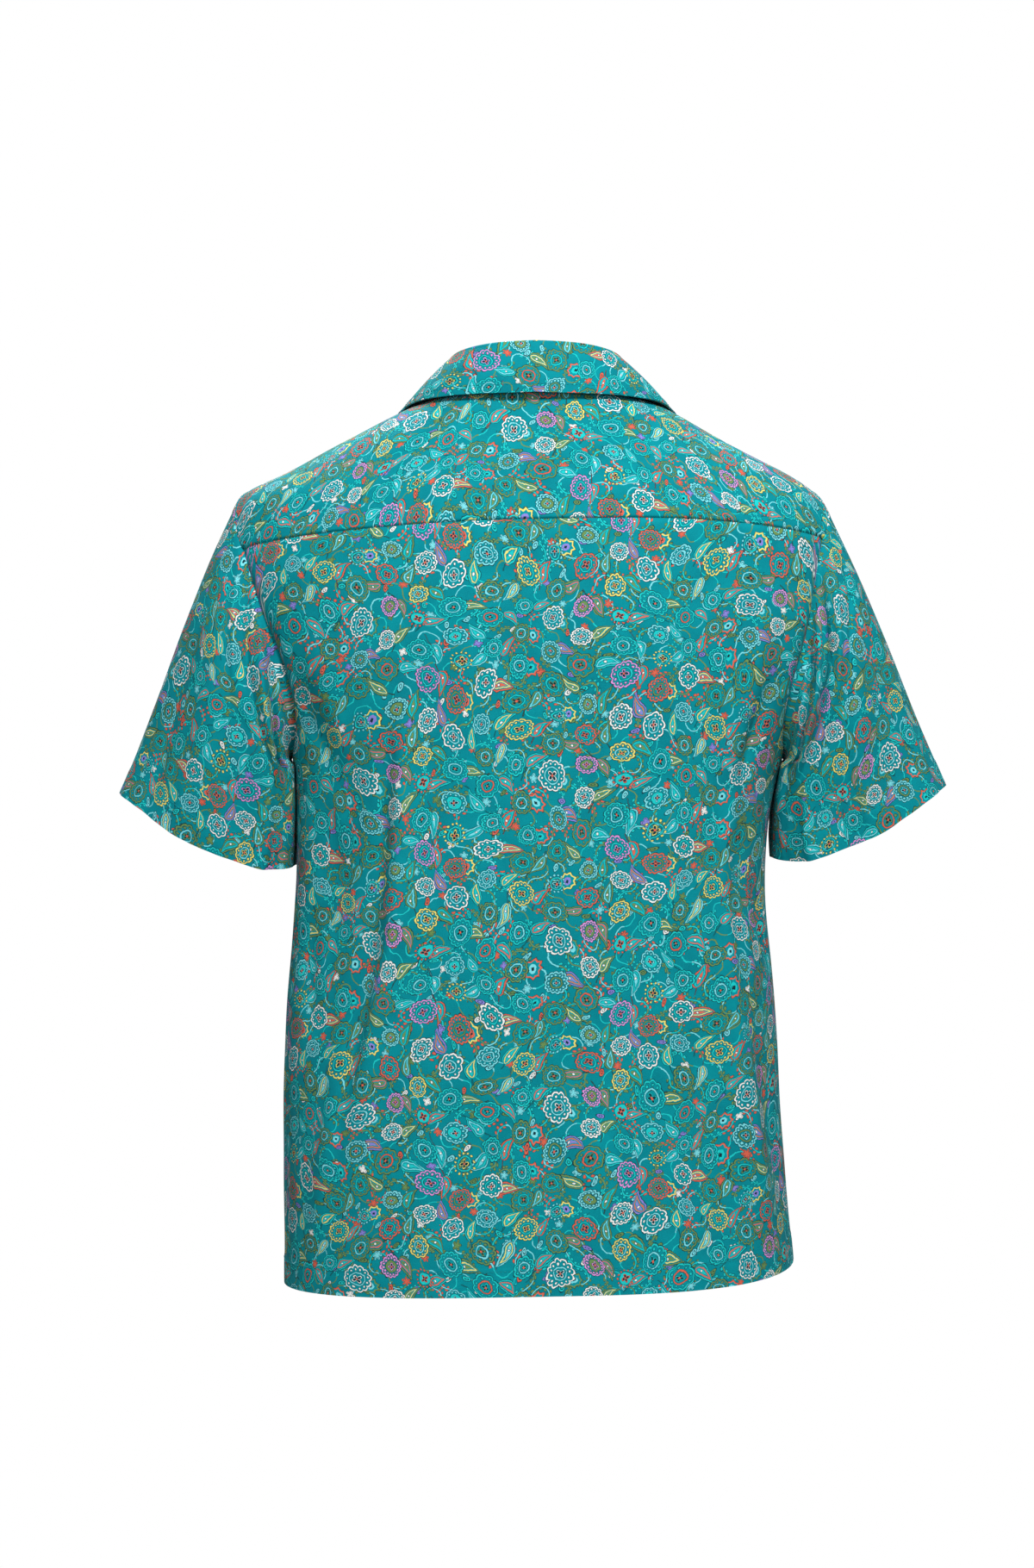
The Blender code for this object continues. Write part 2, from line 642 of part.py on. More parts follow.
def facing_out(points, tube, core, rows=slice(None)):
    """The grid with its columns turned round if its normals point towards its core."""
    normals = grid_normals(points, tube)
    inward = (normals * (points - core)).sum(-1)[rows].sum() < 0
    return points[:, ::-1] if inward else points


def shared_normals(panels):
    """Normals of every grid. At a seam all panels take one: the mean of the body's and other's."""
    normals = {name: grid_normals(points, tube) for name, (points, tube) in panels.items()}
    keys = {name: seam_keys(points) for name, (points, _) in panels.items()}
    on_body, attached = {}, {}
    for name, grid in normals.items():
        sums = attached if name in ATTACHED else on_body
        for key, normal in zip(keys[name], grid.reshape(-1, 3)):
            sums[key] = sums.get(key, 0) + normal
    means = {key: unit(total) for key, total in on_body.items()}
    for key, total in attached.items():
        means[key] = unit(means.get(key, 0) + unit(total))
    return {
        name: np.array([means[key] for key in keys[name]]).reshape(grid.shape)
        for name, grid in normals.items()
    }


def seam_keys(points):
    """Each point rounded to a hundredth of a millimetre, to find the same point in two grids."""
    return [tuple(key) for key in np.round(points * 100).astype(int).reshape(-1, 3)]


def set_back(points, normals, tube):
    """Moves each edge of a grid into the grid by half of the seam's gap."""
    moved = points.copy()
    edges = [(points, normals, moved)]
    if not tube:
        edges.append([np.swapaxes(grid, 0, 1) for grid in (points, normals, moved)])
    for grid, up, result in edges:
        for edge, inner in ((0, 1), (-1, -2)):
            along = np.gradient(grid[edge], axis=0)
            if tube:
                along = np.roll(grid[edge], -1, axis=0) - np.roll(grid[edge], 1, axis=0)
            inward = np.cross(up[edge], along)
            inward *= np.sign((inward * (grid[inner] - grid[edge])).sum(-1, keepdims=True))
            result[edge] += unit(inward) * SEAM_GAP / 2
    return moved


def wall_faces(rows, columns, tube):
    """Triangles of a closed wall whose outer grid comes first and whose inner grid follows."""
    index = np.arange(rows * columns).reshape(rows, columns)
    if tube:
        index = np.concatenate([index, index[:, :1]], axis=1)
    a, b = index[:-1, :-1].ravel(), index[:-1, 1:].ravel()
    c, d = index[1:, 1:].ravel(), index[1:, :-1].ravel()
    outer = np.concatenate([np.stack([a, b, c], -1), np.stack([a, c, d], -1)])
    loops = [index[0], index[-1, ::-1]]
    if not tube:
        loops += [index[:, -1], index[::-1, 0]]
    start = np.concatenate([loop[:-1] for loop in loops])
    end = np.concatenate([loop[1:] for loop in loops])
    inner = rows * columns
    rim = np.concatenate(
        [np.stack([end, start, start + inner], -1), np.stack([end, start + inner, end + inner], -1)]
    )
    return np.concatenate([outer, outer[:, ::-1] + inner, rim])


def add_object(name, points, faces, material):
    mesh = bpy.data.meshes.new(name)
    mesh.from_pydata((points * METRES).tolist(), [], faces.tolist())
    mesh.materials.append(material)
    mesh.validate()
    mesh.shade_smooth()
    mesh.set_sharp_from_angle(angle=math.radians(60))
    piece = bpy.data.objects.new(name, mesh)
    bpy.context.scene.collection.objects.link(piece)
    return piece


def add_wall(name, points, normals, tube, material):
    """A panel's closed wall: its grid moved out and in by half of the cloth's thickness."""
    middle = set_back(points, normals, tube)
    outer, inner = middle + normals * WALL / 2, middle - normals * WALL / 2
    both = np.concatenate([outer.reshape(-1, 3), inner.reshape(-1, 3)])
    return add_object(name, both, wall_faces(*points.shape[:2], tube), material)


def finish(name, colour, roughness):
    material = bpy.data.materials.new(name)
    material.use_nodes = True
    surface = material.node_tree.nodes["Principled BSDF"]
    surface.inputs["Base Color"].default_value = (*colour, 1)
    surface.inputs["Roughness"].default_value = roughness
    surface.inputs["Metallic"].default_value = 0
    return material


# ---- Buttons ----


def add_button(name, height, material):
    """A turned disc with a raised rim, facing out of the left front."""
    profile = np.array(BUTTON_PROFILE, float)
    ring = np.radians(np.arange(BUTTON_SIDES) * 360 / BUTTON_SIDES)
    inner = profile[1:-1]
    disc = np.stack(
        [
            inner[:, :1] * np.cos(ring),
            inner[:, :1] * np.sin(ring),
            np.repeat(inner[:, 1:], BUTTON_SIDES, axis=1),
        ],
        axis=-1,
    ).reshape(-1, 3)
    local = np.concatenate([disc, [(0, 0, profile[0, 1]), (0, 0, profile[-1, 1])]])
    middle = np.array(-math.pi / 2)
    normal = form_normal(middle, np.array(float(height)))
    across = unit(np.cross((0, 0, 1), normal))
    up = np.cross(normal, across)
    seat = skin(middle, np.array(float(height)))
    seat = seat + normal * (WALL / 2 + BUTTON_CLEAR - profile[0, 1])
    points = seat + local[:, :1] * across + local[:, 1:2] * up + local[:, 2:] * normal
    rows = len(inner)
    index = np.arange(rows * BUTTON_SIDES).reshape(rows, BUTTON_SIDES)
    turned = np.roll(index, -1, axis=1)
    a, b, c, d = index[:-1].ravel(), turned[:-1].ravel(), turned[1:].ravel(), index[1:].ravel()
    low, high = rows * BUTTON_SIDES, rows * BUTTON_SIDES + 1
    caps = [
        np.stack([turned[0], index[0], 0 * index[0] + low], -1),
        np.stack([index[-1], turned[-1], 0 * index[-1] + high], -1),
    ]
    faces = np.concatenate([np.stack([a, b, c], -1), np.stack([a, c, d], -1), *caps])
    return add_object(name, points, faces, material)


# ---- The shirt ----

for old in list(bpy.data.objects):
    bpy.data.objects.remove(old, do_unlink=True)

upright = np.array([0.0, 0.0, 1.0])
panels = {}
for panel_name, panel_points in {
    "back": back_panel(),
    "yoke": yoke_panel(),
    "front_left": front_panel(LEFT),
    "front_right": front_panel(RIGHT),
    "lapel_left": lapel_panel(LEFT),
    "lapel_right": lapel_panel(RIGHT),
}.items():
    panels[panel_name] = facing_out(panel_points, False, panel_points * upright), False
for panel_name, sleeve_side in (("sleeve_left", LEFT), ("sleeve_right", RIGHT)):
    tube_points = sleeve_panel(sleeve_side)
    middle_line = tube_points.mean(axis=1, keepdims=True)
    panels[panel_name] = facing_out(tube_points, True, middle_line), True
collar_points = collar_panel()
panels["collar"] = facing_out(collar_points, False, collar_points * upright, slice(0, 3)), False

panel_normals = shared_normals(panels)
for panel_name, (panel_points, is_tube) in panels.items():
    colour = COLLAR_COLOUR if panel_name in ("collar", "yoke") else COTTON_COLOUR
    cotton = finish(f"printed_cotton_{panel_name}", colour, COTTON_ROUGHNESS)
    add_wall(panel_name, panel_points, panel_normals[panel_name], is_tube, cotton)

for number, button_height in enumerate(BUTTON_HEIGHTS, start=1):
    shell = finish(f"button_shell_{number}", BUTTON_COLOUR, BUTTON_ROUGHNESS)
    add_button(f"button_{number}", button_height, shell)
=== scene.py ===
"""A short-sleeved camp-collar shirt in printed cotton, worn by no one, dressed over its solids.

+Z is up, the front faces -Y and the wearer's left is +X. Shapes are worked out in millimetres and
put into the meshes in metres. Each panel is a sheet of thin cloth on the same form as its solid.
A place on the body is a pair: the angle round it in radians, and the height.
"""

import math

import bpy
import numpy as np
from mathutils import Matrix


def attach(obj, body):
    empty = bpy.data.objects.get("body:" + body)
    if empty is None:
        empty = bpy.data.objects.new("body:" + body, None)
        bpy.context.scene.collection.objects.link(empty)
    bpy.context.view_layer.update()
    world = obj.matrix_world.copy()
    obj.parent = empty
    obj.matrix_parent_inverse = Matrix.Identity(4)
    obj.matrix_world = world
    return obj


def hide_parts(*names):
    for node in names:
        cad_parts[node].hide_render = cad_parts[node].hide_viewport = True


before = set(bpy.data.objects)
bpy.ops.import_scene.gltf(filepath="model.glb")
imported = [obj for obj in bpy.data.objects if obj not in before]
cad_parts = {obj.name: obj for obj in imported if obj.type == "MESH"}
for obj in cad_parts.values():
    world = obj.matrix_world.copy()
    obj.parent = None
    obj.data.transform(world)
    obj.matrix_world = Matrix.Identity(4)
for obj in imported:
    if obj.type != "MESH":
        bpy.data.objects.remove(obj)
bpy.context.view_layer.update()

# ---- Back ----
# One piece of printed cotton below the yoke, sewn to it and to both fronts and sleeves. It hangs
# from the shoulder blades, a long soft fold down each side, and its foot is turned and stitched.

METRES, TURN = 0.001, 2 * math.pi
LEFT, RIGHT = 1, -1
SIDES = ((LEFT, "left"), (RIGHT, "right"))
BACK, FRONT = 1, -1
CLOTH = 0.6  # thickness of one layer
CLOTH_STEP = 3.0  # size of a cell of a panel's grid
HEM_DEPTH = 20  # from the fold at the shirt's foot to its stitches
HEM_STITCH = HEM_DEPTH - 1  # from the foot of the shirt
STITCH_BAND = np.array([-2.2, -1.4, -0.6, 0.2, 1.0])  # rows of cells under a hem's stitches
BACK_SIZE = (480, 590)
SHARP = 50  # degrees of a crease that isn't smoothed over

# Horizontal sections of the body. Columns: height, left, right, back, front, squareness.
SECTIONS = np.array([
    (0, 62, 62, 62, 9, 2.2),
    (-5, 74, 75, 64.5, 14, 2.2),
    (-17, 101, 103, 68.5, 24, 2.3),
    (-41, 149, 146, 76, 41, 2.4),
    (-68, 200, 196, 85, 59, 2.5),
    (-82, 226, 217, 89, 68, 2.5),
    (-95, 236, 228, 92, 77, 2.6),
    (-120, 242, 235, 97, 92, 2.6),
    (-150, 239, 235, 101, 108, 2.6),
    (-180, 229, 231, 104, 119, 2.6),
    (-215, 213, 220, 106, 127, 2.6),
    (-250, 199, 205, 107, 131, 2.6),
    (-285, 189, 191, 108, 132, 2.6),
    (-330, 185, 181, 109, 131, 2.6),
    (-393, 186, 178, 111, 129, 2.6),
    (-465, 192, 184, 114, 127, 2.6),
    (-567, 195, 190, 119, 125, 2.6),
    (-634, 195, 195, 123, 126, 2.6),
    (-710, 194, 203, 127, 127, 2.6),
])
# The hem round the body: degrees and heights.
HEM_DEGREES = np.array([0, 45, 90, 130, 155, 180, 215, 270, 320])
HEM_HEIGHTS = np.array([-690, -691, -688, -684, -677, -672, -675, -683, -688])
# The armhole seam, from the underarm up the back and over the shoulder. Columns: depth, height.
ARMHOLE_BACK = [(0, -285), (26, -280), (46, -257), (56, -222), (58, -180)]
ARMHOLE_OVER = [(33, -98), (6, -82), (-14, -85)]
ARMHOLE_FRONT = [(-44, -122), (-54, -168), (-52, -216), (-41, -256), (-23, -279)]
UNDERARM = ARMHOLE_BACK[0][1]
YOKE_CORNER_BACK = {LEFT: (50, -126), RIGHT: (47, -118)}
YOKE_CORNER_FRONT = (-30, -99)
# The back yoke seam. Columns: distance to the left, height.
YOKE_SEAM = [(93, -110), (0, -106), (-76, -105), (-155, -108)]

# Folds of the body, each a ridge (or a trough, where its rise is negative) along a path of three
# points. Columns: distance to the left and height of its top, middle and foot, width, rise.
FOLDS = {
    BACK: [
        (98, -235, 105, -400, 151, -600, 15, 5.0),
        (118, -250, 126, -410, 168, -590, 13, -3.5),
        (-132, -340, -141, -470, -184, -670, 14, 4.5),
        (-112, -350, -120, -480, -150, -660, 14, -3.0),
        # Finer folds and creases.
        (156, -222, 154, -360, 168, -570, 27, -9.5),
        (99, -225, 103, -340, 112, -480, 7, 3.6),
        (110, -235, 116, -350, 128, -470, 6, -3.4),
        (101, -400, 118, -470, 140, -580, 5, 2.6),
        (108, -395, 128, -465, 152, -590, 6, -3.0),
        (146, -450, 156, -560, 170, -672, 9, 3.6),
        (170, -395, 176, -440, 172, -500, 9, -4.0),
        (-128, -320, -136, -430, -150, -560, 6, -3.4),
        (-138, -330, -146, -440, -160, -570, 7, 2.6),
        (-152, -430, -162, -540, -178, -650, 7, 3.2),
        (-163, -372, -171, -408, -180, -455, 7, -5.5),
        (-150, -380, -158, -425, -166, -480, 7, 3.0),
        (-166, -480, -178, -560, -192, -650, 9, -3.4),
        (178, -180, 160, -235, 140, -300, 11, 3.2),
        (186, -215, 168, -268, 154, -330, 8, -2.6),
        (176, -262, 158, -312, 146, -380, 8, 2.2),
        (-178, -178, -160, -240, -146, -310, 9, 4.0),
        (-186, -212, -164, -270, -150, -340, 7, -4.0),
        (-172, -268, -150, -322, -140, -390, 8, 2.8),
        (44, -330, 40, -450, 52, -600, 22, 2.6),
        (6, -360, 0, -470, -8, -640, 18, -2.2),
        (-52, -300, -56, -440, -66, -630, 20, -3.0),
        (-86, -360, -92, -480, -104, -640, 12, 3.0),
        (20, -560, 46, -610, 70, -664, 12, -2.6),
        (-20, -540, -48, -600, -72, -665, 12, 2.4),
        (70, -560, 84, -610, 96, -668, 9, 2.6),
        (64, -150, 52, -210, 58, -290, 16, 2.0),
        (-70, -150, -60, -220, -66, -300, 16, 2.0),
        (0, -150, 6, -230, 0, -330, 20, -1.8),
    ],
    FRONT: [
        (120, -190, 112, -380, 128, -610, 16, 4.5),
        (92, -240, 88, -400, 96, -600, 15, -3.0),
        (-118, -200, -104, -400, -120, -640, 16, 4.0),
        # Finer folds and creases.
        (170, -185, 146, -262, 128, -350, 9, 4.0),
        (184, -225, 160, -285, 142, -360, 7, -4.0),
        (104, -300, 100, -420, 110, -540, 6, -3.2),
        (62, -230, 54, -330, 42, -430, 16, 2.6),
        (148, -420, 152, -520, 160, -660, 10, 3.6),
        (130, -430, 134, -530, 140, -660, 9, -3.0),
        (34, -500, 60, -580, 84, -660, 12, 2.6),
        (-170, -188, -144, -272, -126, -360, 9, 4.0),
        (-182, -225, -158, -285, -142, -360, 7, -4.0),
        (-84, -260, -78, -380, -88, -520, 10, -3.4),
        (-146, -400, -150, -520, -164, -650, 10, 3.6),
        (-50, -300, -46, -420, -60, -560, 14, 2.4),
        (-30, -560, -70, -620, -104, -668, 12, -2.6),
    ],
}
FOLD_MIDDLE, FOLD_STEPS = 0.45, 60
# Cells of the solids' grids, which the seams are shared out by.
SIDE_ROWS, ARMHOLE_ROWS, OVER_CELLS = 12, 9, 9
BACK_CELLS, NECK_CELLS, YOKE_ROWS, BREAK_ROWS = 30, 6, 8, 14
FINE, SEAM_SAMPLES = 16, 600  # points of a seam for each of those cells, and samples of its curve
EVENING_STEPS = 150


def spline(knots, values, at):
    """Natural cubic spline: its second derivative runs straight from row to row, and ends at 0."""
    knots, at = np.asarray(knots, float), np.asarray(at, float)
    values = np.asarray(values, float).reshape(len(knots), -1)
    gaps = np.diff(knots)
    slopes = np.diff(values, axis=0) / gaps[:, None]
    system, change = np.eye(len(knots)), np.zeros_like(values)
    for row in range(1, len(knots) - 1):
        system[row, row - 1 : row + 2] = gaps[row - 1], 2 * (gaps[row - 1] + gaps[row]), gaps[row]
        change[row] = 6 * (slopes[row] - slopes[row - 1])
    bend = np.linalg.solve(system, change)
    cell = np.clip(np.searchsorted(knots, at) - 1, 0, len(gaps) - 1)
    gap = gaps[cell][..., None]
    past, left = (at - knots[cell])[..., None], (knots[cell + 1] - at)[..., None]
    curved = (bend[cell] * left**3 + bend[cell + 1] * past**3) / (6 * gap)
    start = values[cell] / gap - bend[cell] * gap / 6
    end = values[cell + 1] / gap - bend[cell + 1] * gap / 6
    return curved + start * left + end * past


def lengths(points, axis=0):
    """Way from the first point of each line to each of its points."""
    steps = np.linalg.norm(np.diff(points, axis=axis), axis=-1)
    return np.insert(np.cumsum(steps, axis=axis), 0, 0, axis=axis)


def unit(vectors):
    """Vectors divided by their own lengths."""
    return vectors / np.linalg.norm(vectors, axis=-1, keepdims=True)


def ramp(value, start, end):
    """Smooth step from 0 at start to 1 at end."""
    share = np.clip((value - start) / (end - start), 0, 1)
    return share * share * (3 - 2 * share)


def hump(distance, reach):
    """1 at no distance, falling off as exp(-(distance / reach)^2)."""
    return np.exp(-((distance / reach) ** 2))


def pairs(first, second):
    """Places from two arrays, of which either may be one number."""
    return np.stack(np.broadcast_arrays(first, second), axis=-1)


def section(height):
    """Left, right, back, front and squareness of the body's section at a height."""
    within = np.clip(height, SECTIONS[-1, 0], SECTIONS[0, 0])
    return np.moveaxis(spline(-SECTIONS[:, 0], SECTIONS[:, 1:], -within), -1, 0)


def form(places):
    """Point of the body's form: the section's curve |x/width|^n + |y/depth|^n = 1 at an angle."""
    angle, height = np.moveaxis(np.asarray(places, float), -1, 0)
    left, right, back, front, squareness = section(height)
    across, along = np.cos(angle), np.sin(angle)
    reach = (np.abs(across) ** squareness + np.abs(along) ** squareness) ** (-1 / squareness)
    x = reach * across * np.where(across > 0, left, right)
    y = reach * along * np.where(along > 0, back, front)
    return np.stack([x, y, height], axis=-1)


def form_normal(places):
    """Outward direction of the form, from its slopes along a section and upwards."""
    turn, rise = np.array([0.002, 0]), np.array([0, 0.5])
    places = np.minimum(places, (np.inf, SECTIONS[0, 0] - rise[1]))
    around = form(places + turn) - form(places - turn)
    return unit(np.cross(around, form(places + rise) - form(places - rise)))


def mirrored(side, angle):
    """An angle of the left side, or the like one of the right."""
    return angle if side == LEFT else math.pi - angle


def place_across(side, out, height, facing):
    """Place on the form, behind or in front, at a distance from the middle towards a side."""
    out, height = np.broadcast_arrays(out, np.asarray(height, float))
    left, right, _, _, squareness = section(height)
    share = np.clip(out / np.where(out * side > 0, left, right), -1, 1)
    other = (1 - np.abs(share) ** squareness) ** (1 / squareness)
    return pairs(mirrored(side, np.arctan2(facing * other, share)), height)


def place_at_depth(side, depth, height):
    """Place on the form, on a side, at a depth behind the origin."""
    _, _, back, front, squareness = section(np.asarray(height, float))
    share = np.asarray(depth) / np.where(np.asarray(depth) > 0, back, front)
    other = (1 - np.abs(share) ** squareness) ** (1 / squareness)
    return pairs(mirrored(side, np.arctan2(share, other)), height)


def fold_rises(points):
    """How far the folds lift each point of the form: rise exp(-(d / width)^2) sin(pi share)^1.1.

    d is the distance from the fold's path, and share the part of its way down there.
    """
    flat = points.reshape(-1, 3)
    rises = np.zeros(len(flat))
    folds = [(facing, *row) for facing, rows in FOLDS.items() for row in rows]
    for facing, *stops, width, rise in folds:
        stops = np.reshape(stops, (3, 2))
        route = spline([0, FOLD_MIDDLE, 1], stops, np.linspace(0, 1, FOLD_STEPS))
        path = form(place_across(LEFT, route[:, 0], route[:, 1], facing))
        reach = 3 * width
        low, high = path.min(axis=0) - reach, path.max(axis=0) + reach
        near = np.flatnonzero(((flat > low) & (flat < high)).all(axis=1))
        nearest = np.linalg.norm(flat[near, None, :] - path, axis=-1).argmin(axis=-1)
        step = np.gradient(path, axis=0)[nearest]
        offset = flat[near] - path[nearest]
        past = (offset * step).sum(-1) / (step * step).sum(-1)
        away = np.linalg.norm(offset - past[:, None] * step, axis=-1)
        share = np.clip((nearest + past) / (FOLD_STEPS - 1), 0, 1)
        rises[near] += rise * np.sin(math.pi * share) ** 1.1 * hump(away, width)
    return rises.reshape(points.shape[:-1])


def skin(places):
    """Middle of the cloth on the body: the form, lifted by the folds."""
    points = form(places)
    return points + form_normal(places) * fold_rises(points)[..., None]


def equal_steps(knots, rows, first, last, cells):
    """Points at equal steps on the spline through rows, between two of the knots."""
    samples = np.linspace(first, last, SEAM_SAMPLES)
    way = lengths(form(spline(knots, rows, samples)))
    return spline(knots, rows, np.interp(np.linspace(0, way[-1], cells * FINE + 1), way, samples))


def seam(rows, cells, first=0, last=-1):
    """Equal steps along the curve through rows of places, from one row to another."""
    rows = np.asarray(rows, float)
    knots = lengths(form(rows))
    return equal_steps(knots, rows, knots[first], knots[last], cells)


def armhole(side):
    """Three runs of the armhole: up the back to the yoke, over the shoulder, down the front."""
    table = [*ARMHOLE_BACK, YOKE_CORNER_BACK[side], *ARMHOLE_OVER]
    table += [YOKE_CORNER_FRONT, *ARMHOLE_FRONT]
    rows = place_at_depth(side, *np.array(table, float).T)
    count, corner_back = len(rows), len(ARMHOLE_BACK)
    corner_front = corner_back + 1 + len(ARMHOLE_OVER)
    thrice = np.concatenate([rows, rows, rows, rows[:1]])
    knots = lengths(form(thrice))
    stops = [count, count + corner_back, count + corner_front, 2 * count]
    cells = (ARMHOLE_ROWS, OVER_CELLS, ARMHOLE_ROWS)
    return [
        equal_steps(knots, thrice, knots[start], knots[end], number)
        for start, end, number in zip(stops[:-1], stops[1:], cells)
    ]


def hem(first_degrees, last_degrees, cells):
    """The hem between two angles of the body."""
    degrees = np.linspace(first_degrees, last_degrees, cells * FINE + 1)
    turns = np.concatenate([HEM_DEGREES - 360, HEM_DEGREES, HEM_DEGREES + 360, [720]])
    heights = [*HEM_HEIGHTS, *HEM_HEIGHTS, *HEM_HEIGHTS, HEM_HEIGHTS[0]]
    return pairs(np.radians(degrees), spline(turns, heights, degrees)[:, 0])


def side_seam(side):
    """Straight up a side of the form, from the hem to the underarm."""
    degrees = 0 if side == LEFT else 180
    foot = hem(degrees, degrees, 1)[0, 1]
    return pairs(math.radians(degrees), np.linspace(foot, UNDERARM, SIDE_ROWS * FINE + 1))


def yoke_seam():
    """Across the back from the left armhole to the right one."""
    ends = [armhole(side)[0][-1] for side in (LEFT, RIGHT)]
    inner = place_across(LEFT, *np.array(YOKE_SEAM).T, BACK)
    return seam([ends[0], *inner, ends[1]], BACK_CELLS)


def at_share(edge, share):
    """Points of an edge at shares of its steps."""
    place = np.asarray(share) * (len(edge) - 1)
    low = np.clip(np.floor(place).astype(int), 0, len(edge) - 2)
    past = (place - low)[:, None]
    return edge[low] * (1 - past) + edge[low + 1] * past


def blend_edges(bottom, top, left, right, u, v):
    """Grid between four edges: the two straight blends of opposite edges, less that of corners."""
    low, high, start, end = map(at_share, (bottom, top, left, right), (u, u, v, v))
    u, v = u[None, :, None], v[:, None, None]
    up = (1 - v) * low[None] + v * high[None]
    over = (1 - u) * start[:, None] + u * end[:, None]
    foot = (1 - u) * bottom[0] + u * bottom[-1]
    head = (1 - u) * top[0] + u * top[-1]
    return up + over - ((1 - v) * foot + v * head)


def patch(edges, u, v):
    """Fine grid between four edges, evened as the solid's is.

    The blend on the solid's few cells is moved again and again to the mean of its neighbours, and
    the change that this makes is added to the fine blend, read off straight between those cells.
    """
    bottom, _, left, _ = edges
    columns, rows = (len(bottom) - 1) // FINE, (len(left) - 1) // FINE
    coarse = blend_edges(*edges, np.linspace(0, 1, columns + 1), np.linspace(0, 1, rows + 1))
    evened = coarse.copy()
    for _ in range(EVENING_STEPS):
        beside = evened[1:-1, 2:] + evened[1:-1, :-2]
        evened[1:-1, 1:-1] = (beside + evened[2:, 1:-1] + evened[:-2, 1:-1]) / 4
    across = np.stack([at_share(row, u) for row in evened - coarse])
    along = np.stack([at_share(across[:, column], v) for column in range(len(u))], axis=1)
    return blend_edges(*edges, u, v) + along


def shares(length, step=CLOTH_STEP, fine_start=True):
    """Shares of a length at even steps, with closer ones near its ends, for seams and stitches."""
    close = np.array([0, 0.5, 1.0, 1.6, 2.4, 3.6, 5.2])
    start, end = close if fine_start else close[[0, -1]], length - close
    middle = np.linspace(close[-1], length - close[-1], max(2, round(length / step)))
    return np.unique(np.round(np.concatenate([start, middle, end]), 4)) / length


# The cloth along a seam dips into it, and stands up over the allowances turned back under it: a
# lying side has them under it and turns in sharply, and an under side slopes in.
# Depth of the dip, its reach, and the rise over the allowances.
SEAM_KINDS = {"plain": (0.55, 1.1, 0.35), "lying": (1.5, 0.75, 0.45), "under": (1.05, 2.6, 0.0)}
ALLOWANCE = (7.0, 9.5)  # where the low step over the allowances starts and ends to fall
ARMHOLE_DIP, DIP_GROWS, DIP_ENDS = 3.2, (120, 235), (-284, -262)
BODY_REACH, SLEEVE_REACH = 7.0, 3.5
STITCH_DIP, STITCH_REACH = 0.3, 1.0
PUCKER, PUCKER_LENGTH = 0.16, 8.5


def seam_relief(distance, kind):
    """Height of cloth at a distance from its seam: a low flat step, less a dip."""
    dip, reach, rise = SEAM_KINDS[kind]
    return rise * (1 - ramp(distance, *ALLOWANCE)) - dip * hump(distance, reach)


def armhole_pull(distance, height, reach):
    """The valley that the armhole's seam makes in the cloth, deeper towards the underarm."""
    depth = ARMHOLE_DIP * ramp(-height, *DIP_GROWS) * ramp(height, *DIP_ENDS)
    return -depth * hump(distance, reach)


def hem_relief(distance, along, depth):
    """Height of a turned hem: two layers up to its stitches, which pull it in unevenly."""
    layers = CLOTH * 0.6 * (1 - ramp(distance, depth, depth + 1.5))
    pulled = STITCH_DIP * hump(distance - depth + 1, STITCH_REACH)
    near = hump(distance - depth * 0.6, depth * 0.7)
    along = along / PUCKER_LENGTH
    waves = np.sin(along * 6.283) + 0.7 * np.sin(along * 3.9 + 1.3)
    return layers - pulled + PUCKER * waves * near


def drape(points):
    """Slight unevenness of worn cloth: a few long waves, crossing at slants."""
    x, y, z = np.moveaxis(points, -1, 0) / 10
    slow = np.sin(0.42 * x + 0.13 * z + 1.1) * np.sin(0.21 * z - 0.17 * y + 0.4)
    quick = np.sin(0.9 * x - 0.35 * z + 0.5 * y) * np.sin(0.5 * z + 0.31 * x + 2.0)
    return 0.55 * slow + 0.22 * quick


def grid_normals(points, tube=False):
    """Unit normals of a grid, from its slopes along and across."""
    if tube:
        across = np.roll(points, -1, axis=1) - np.roll(points, 1, axis=1)
    else:
        across = np.gradient(points, axis=1)
    return unit(np.cross(across, np.gradient(points, axis=0)))


def outward_normals(points, tube=False, rows=slice(None)):
    """A grid's normals turned away from its middle line, and the sign that turned them."""
    normals = grid_normals(points, tube)
    core = points.mean(axis=1, keepdims=True) if tube else points * (0, 0, 1)
    sign = np.sign((normals * (points - core))[rows].sum())
    return normals * sign, sign


def grid_quads(index):
    """Quads between the rows and columns of a grid of point numbers."""
    low, high = index[:-1], index[1:]
    return np.stack([low[:, :-1], low[:, 1:], high[:, 1:], high[:, :-1]], -1).reshape(-1, 4)


def add_mesh(name, points, faces, material, node=None):
    """A piece with its place in its points and its material, hung from the root; the solid it
    stands for is hidden.
    """
    mesh = bpy.data.meshes.new(name)
    mesh.from_pydata((points * METRES).tolist(), [], [list(face) for face in faces])
    mesh.materials.append(material)
    mesh.shade_smooth()
    mesh.set_sharp_from_angle(angle=math.radians(SHARP))
    piece = bpy.data.objects.new(name, mesh)
    bpy.context.scene.collection.objects.link(piece)
    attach(piece, "root")
    if node:
        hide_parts(node)
    return piece


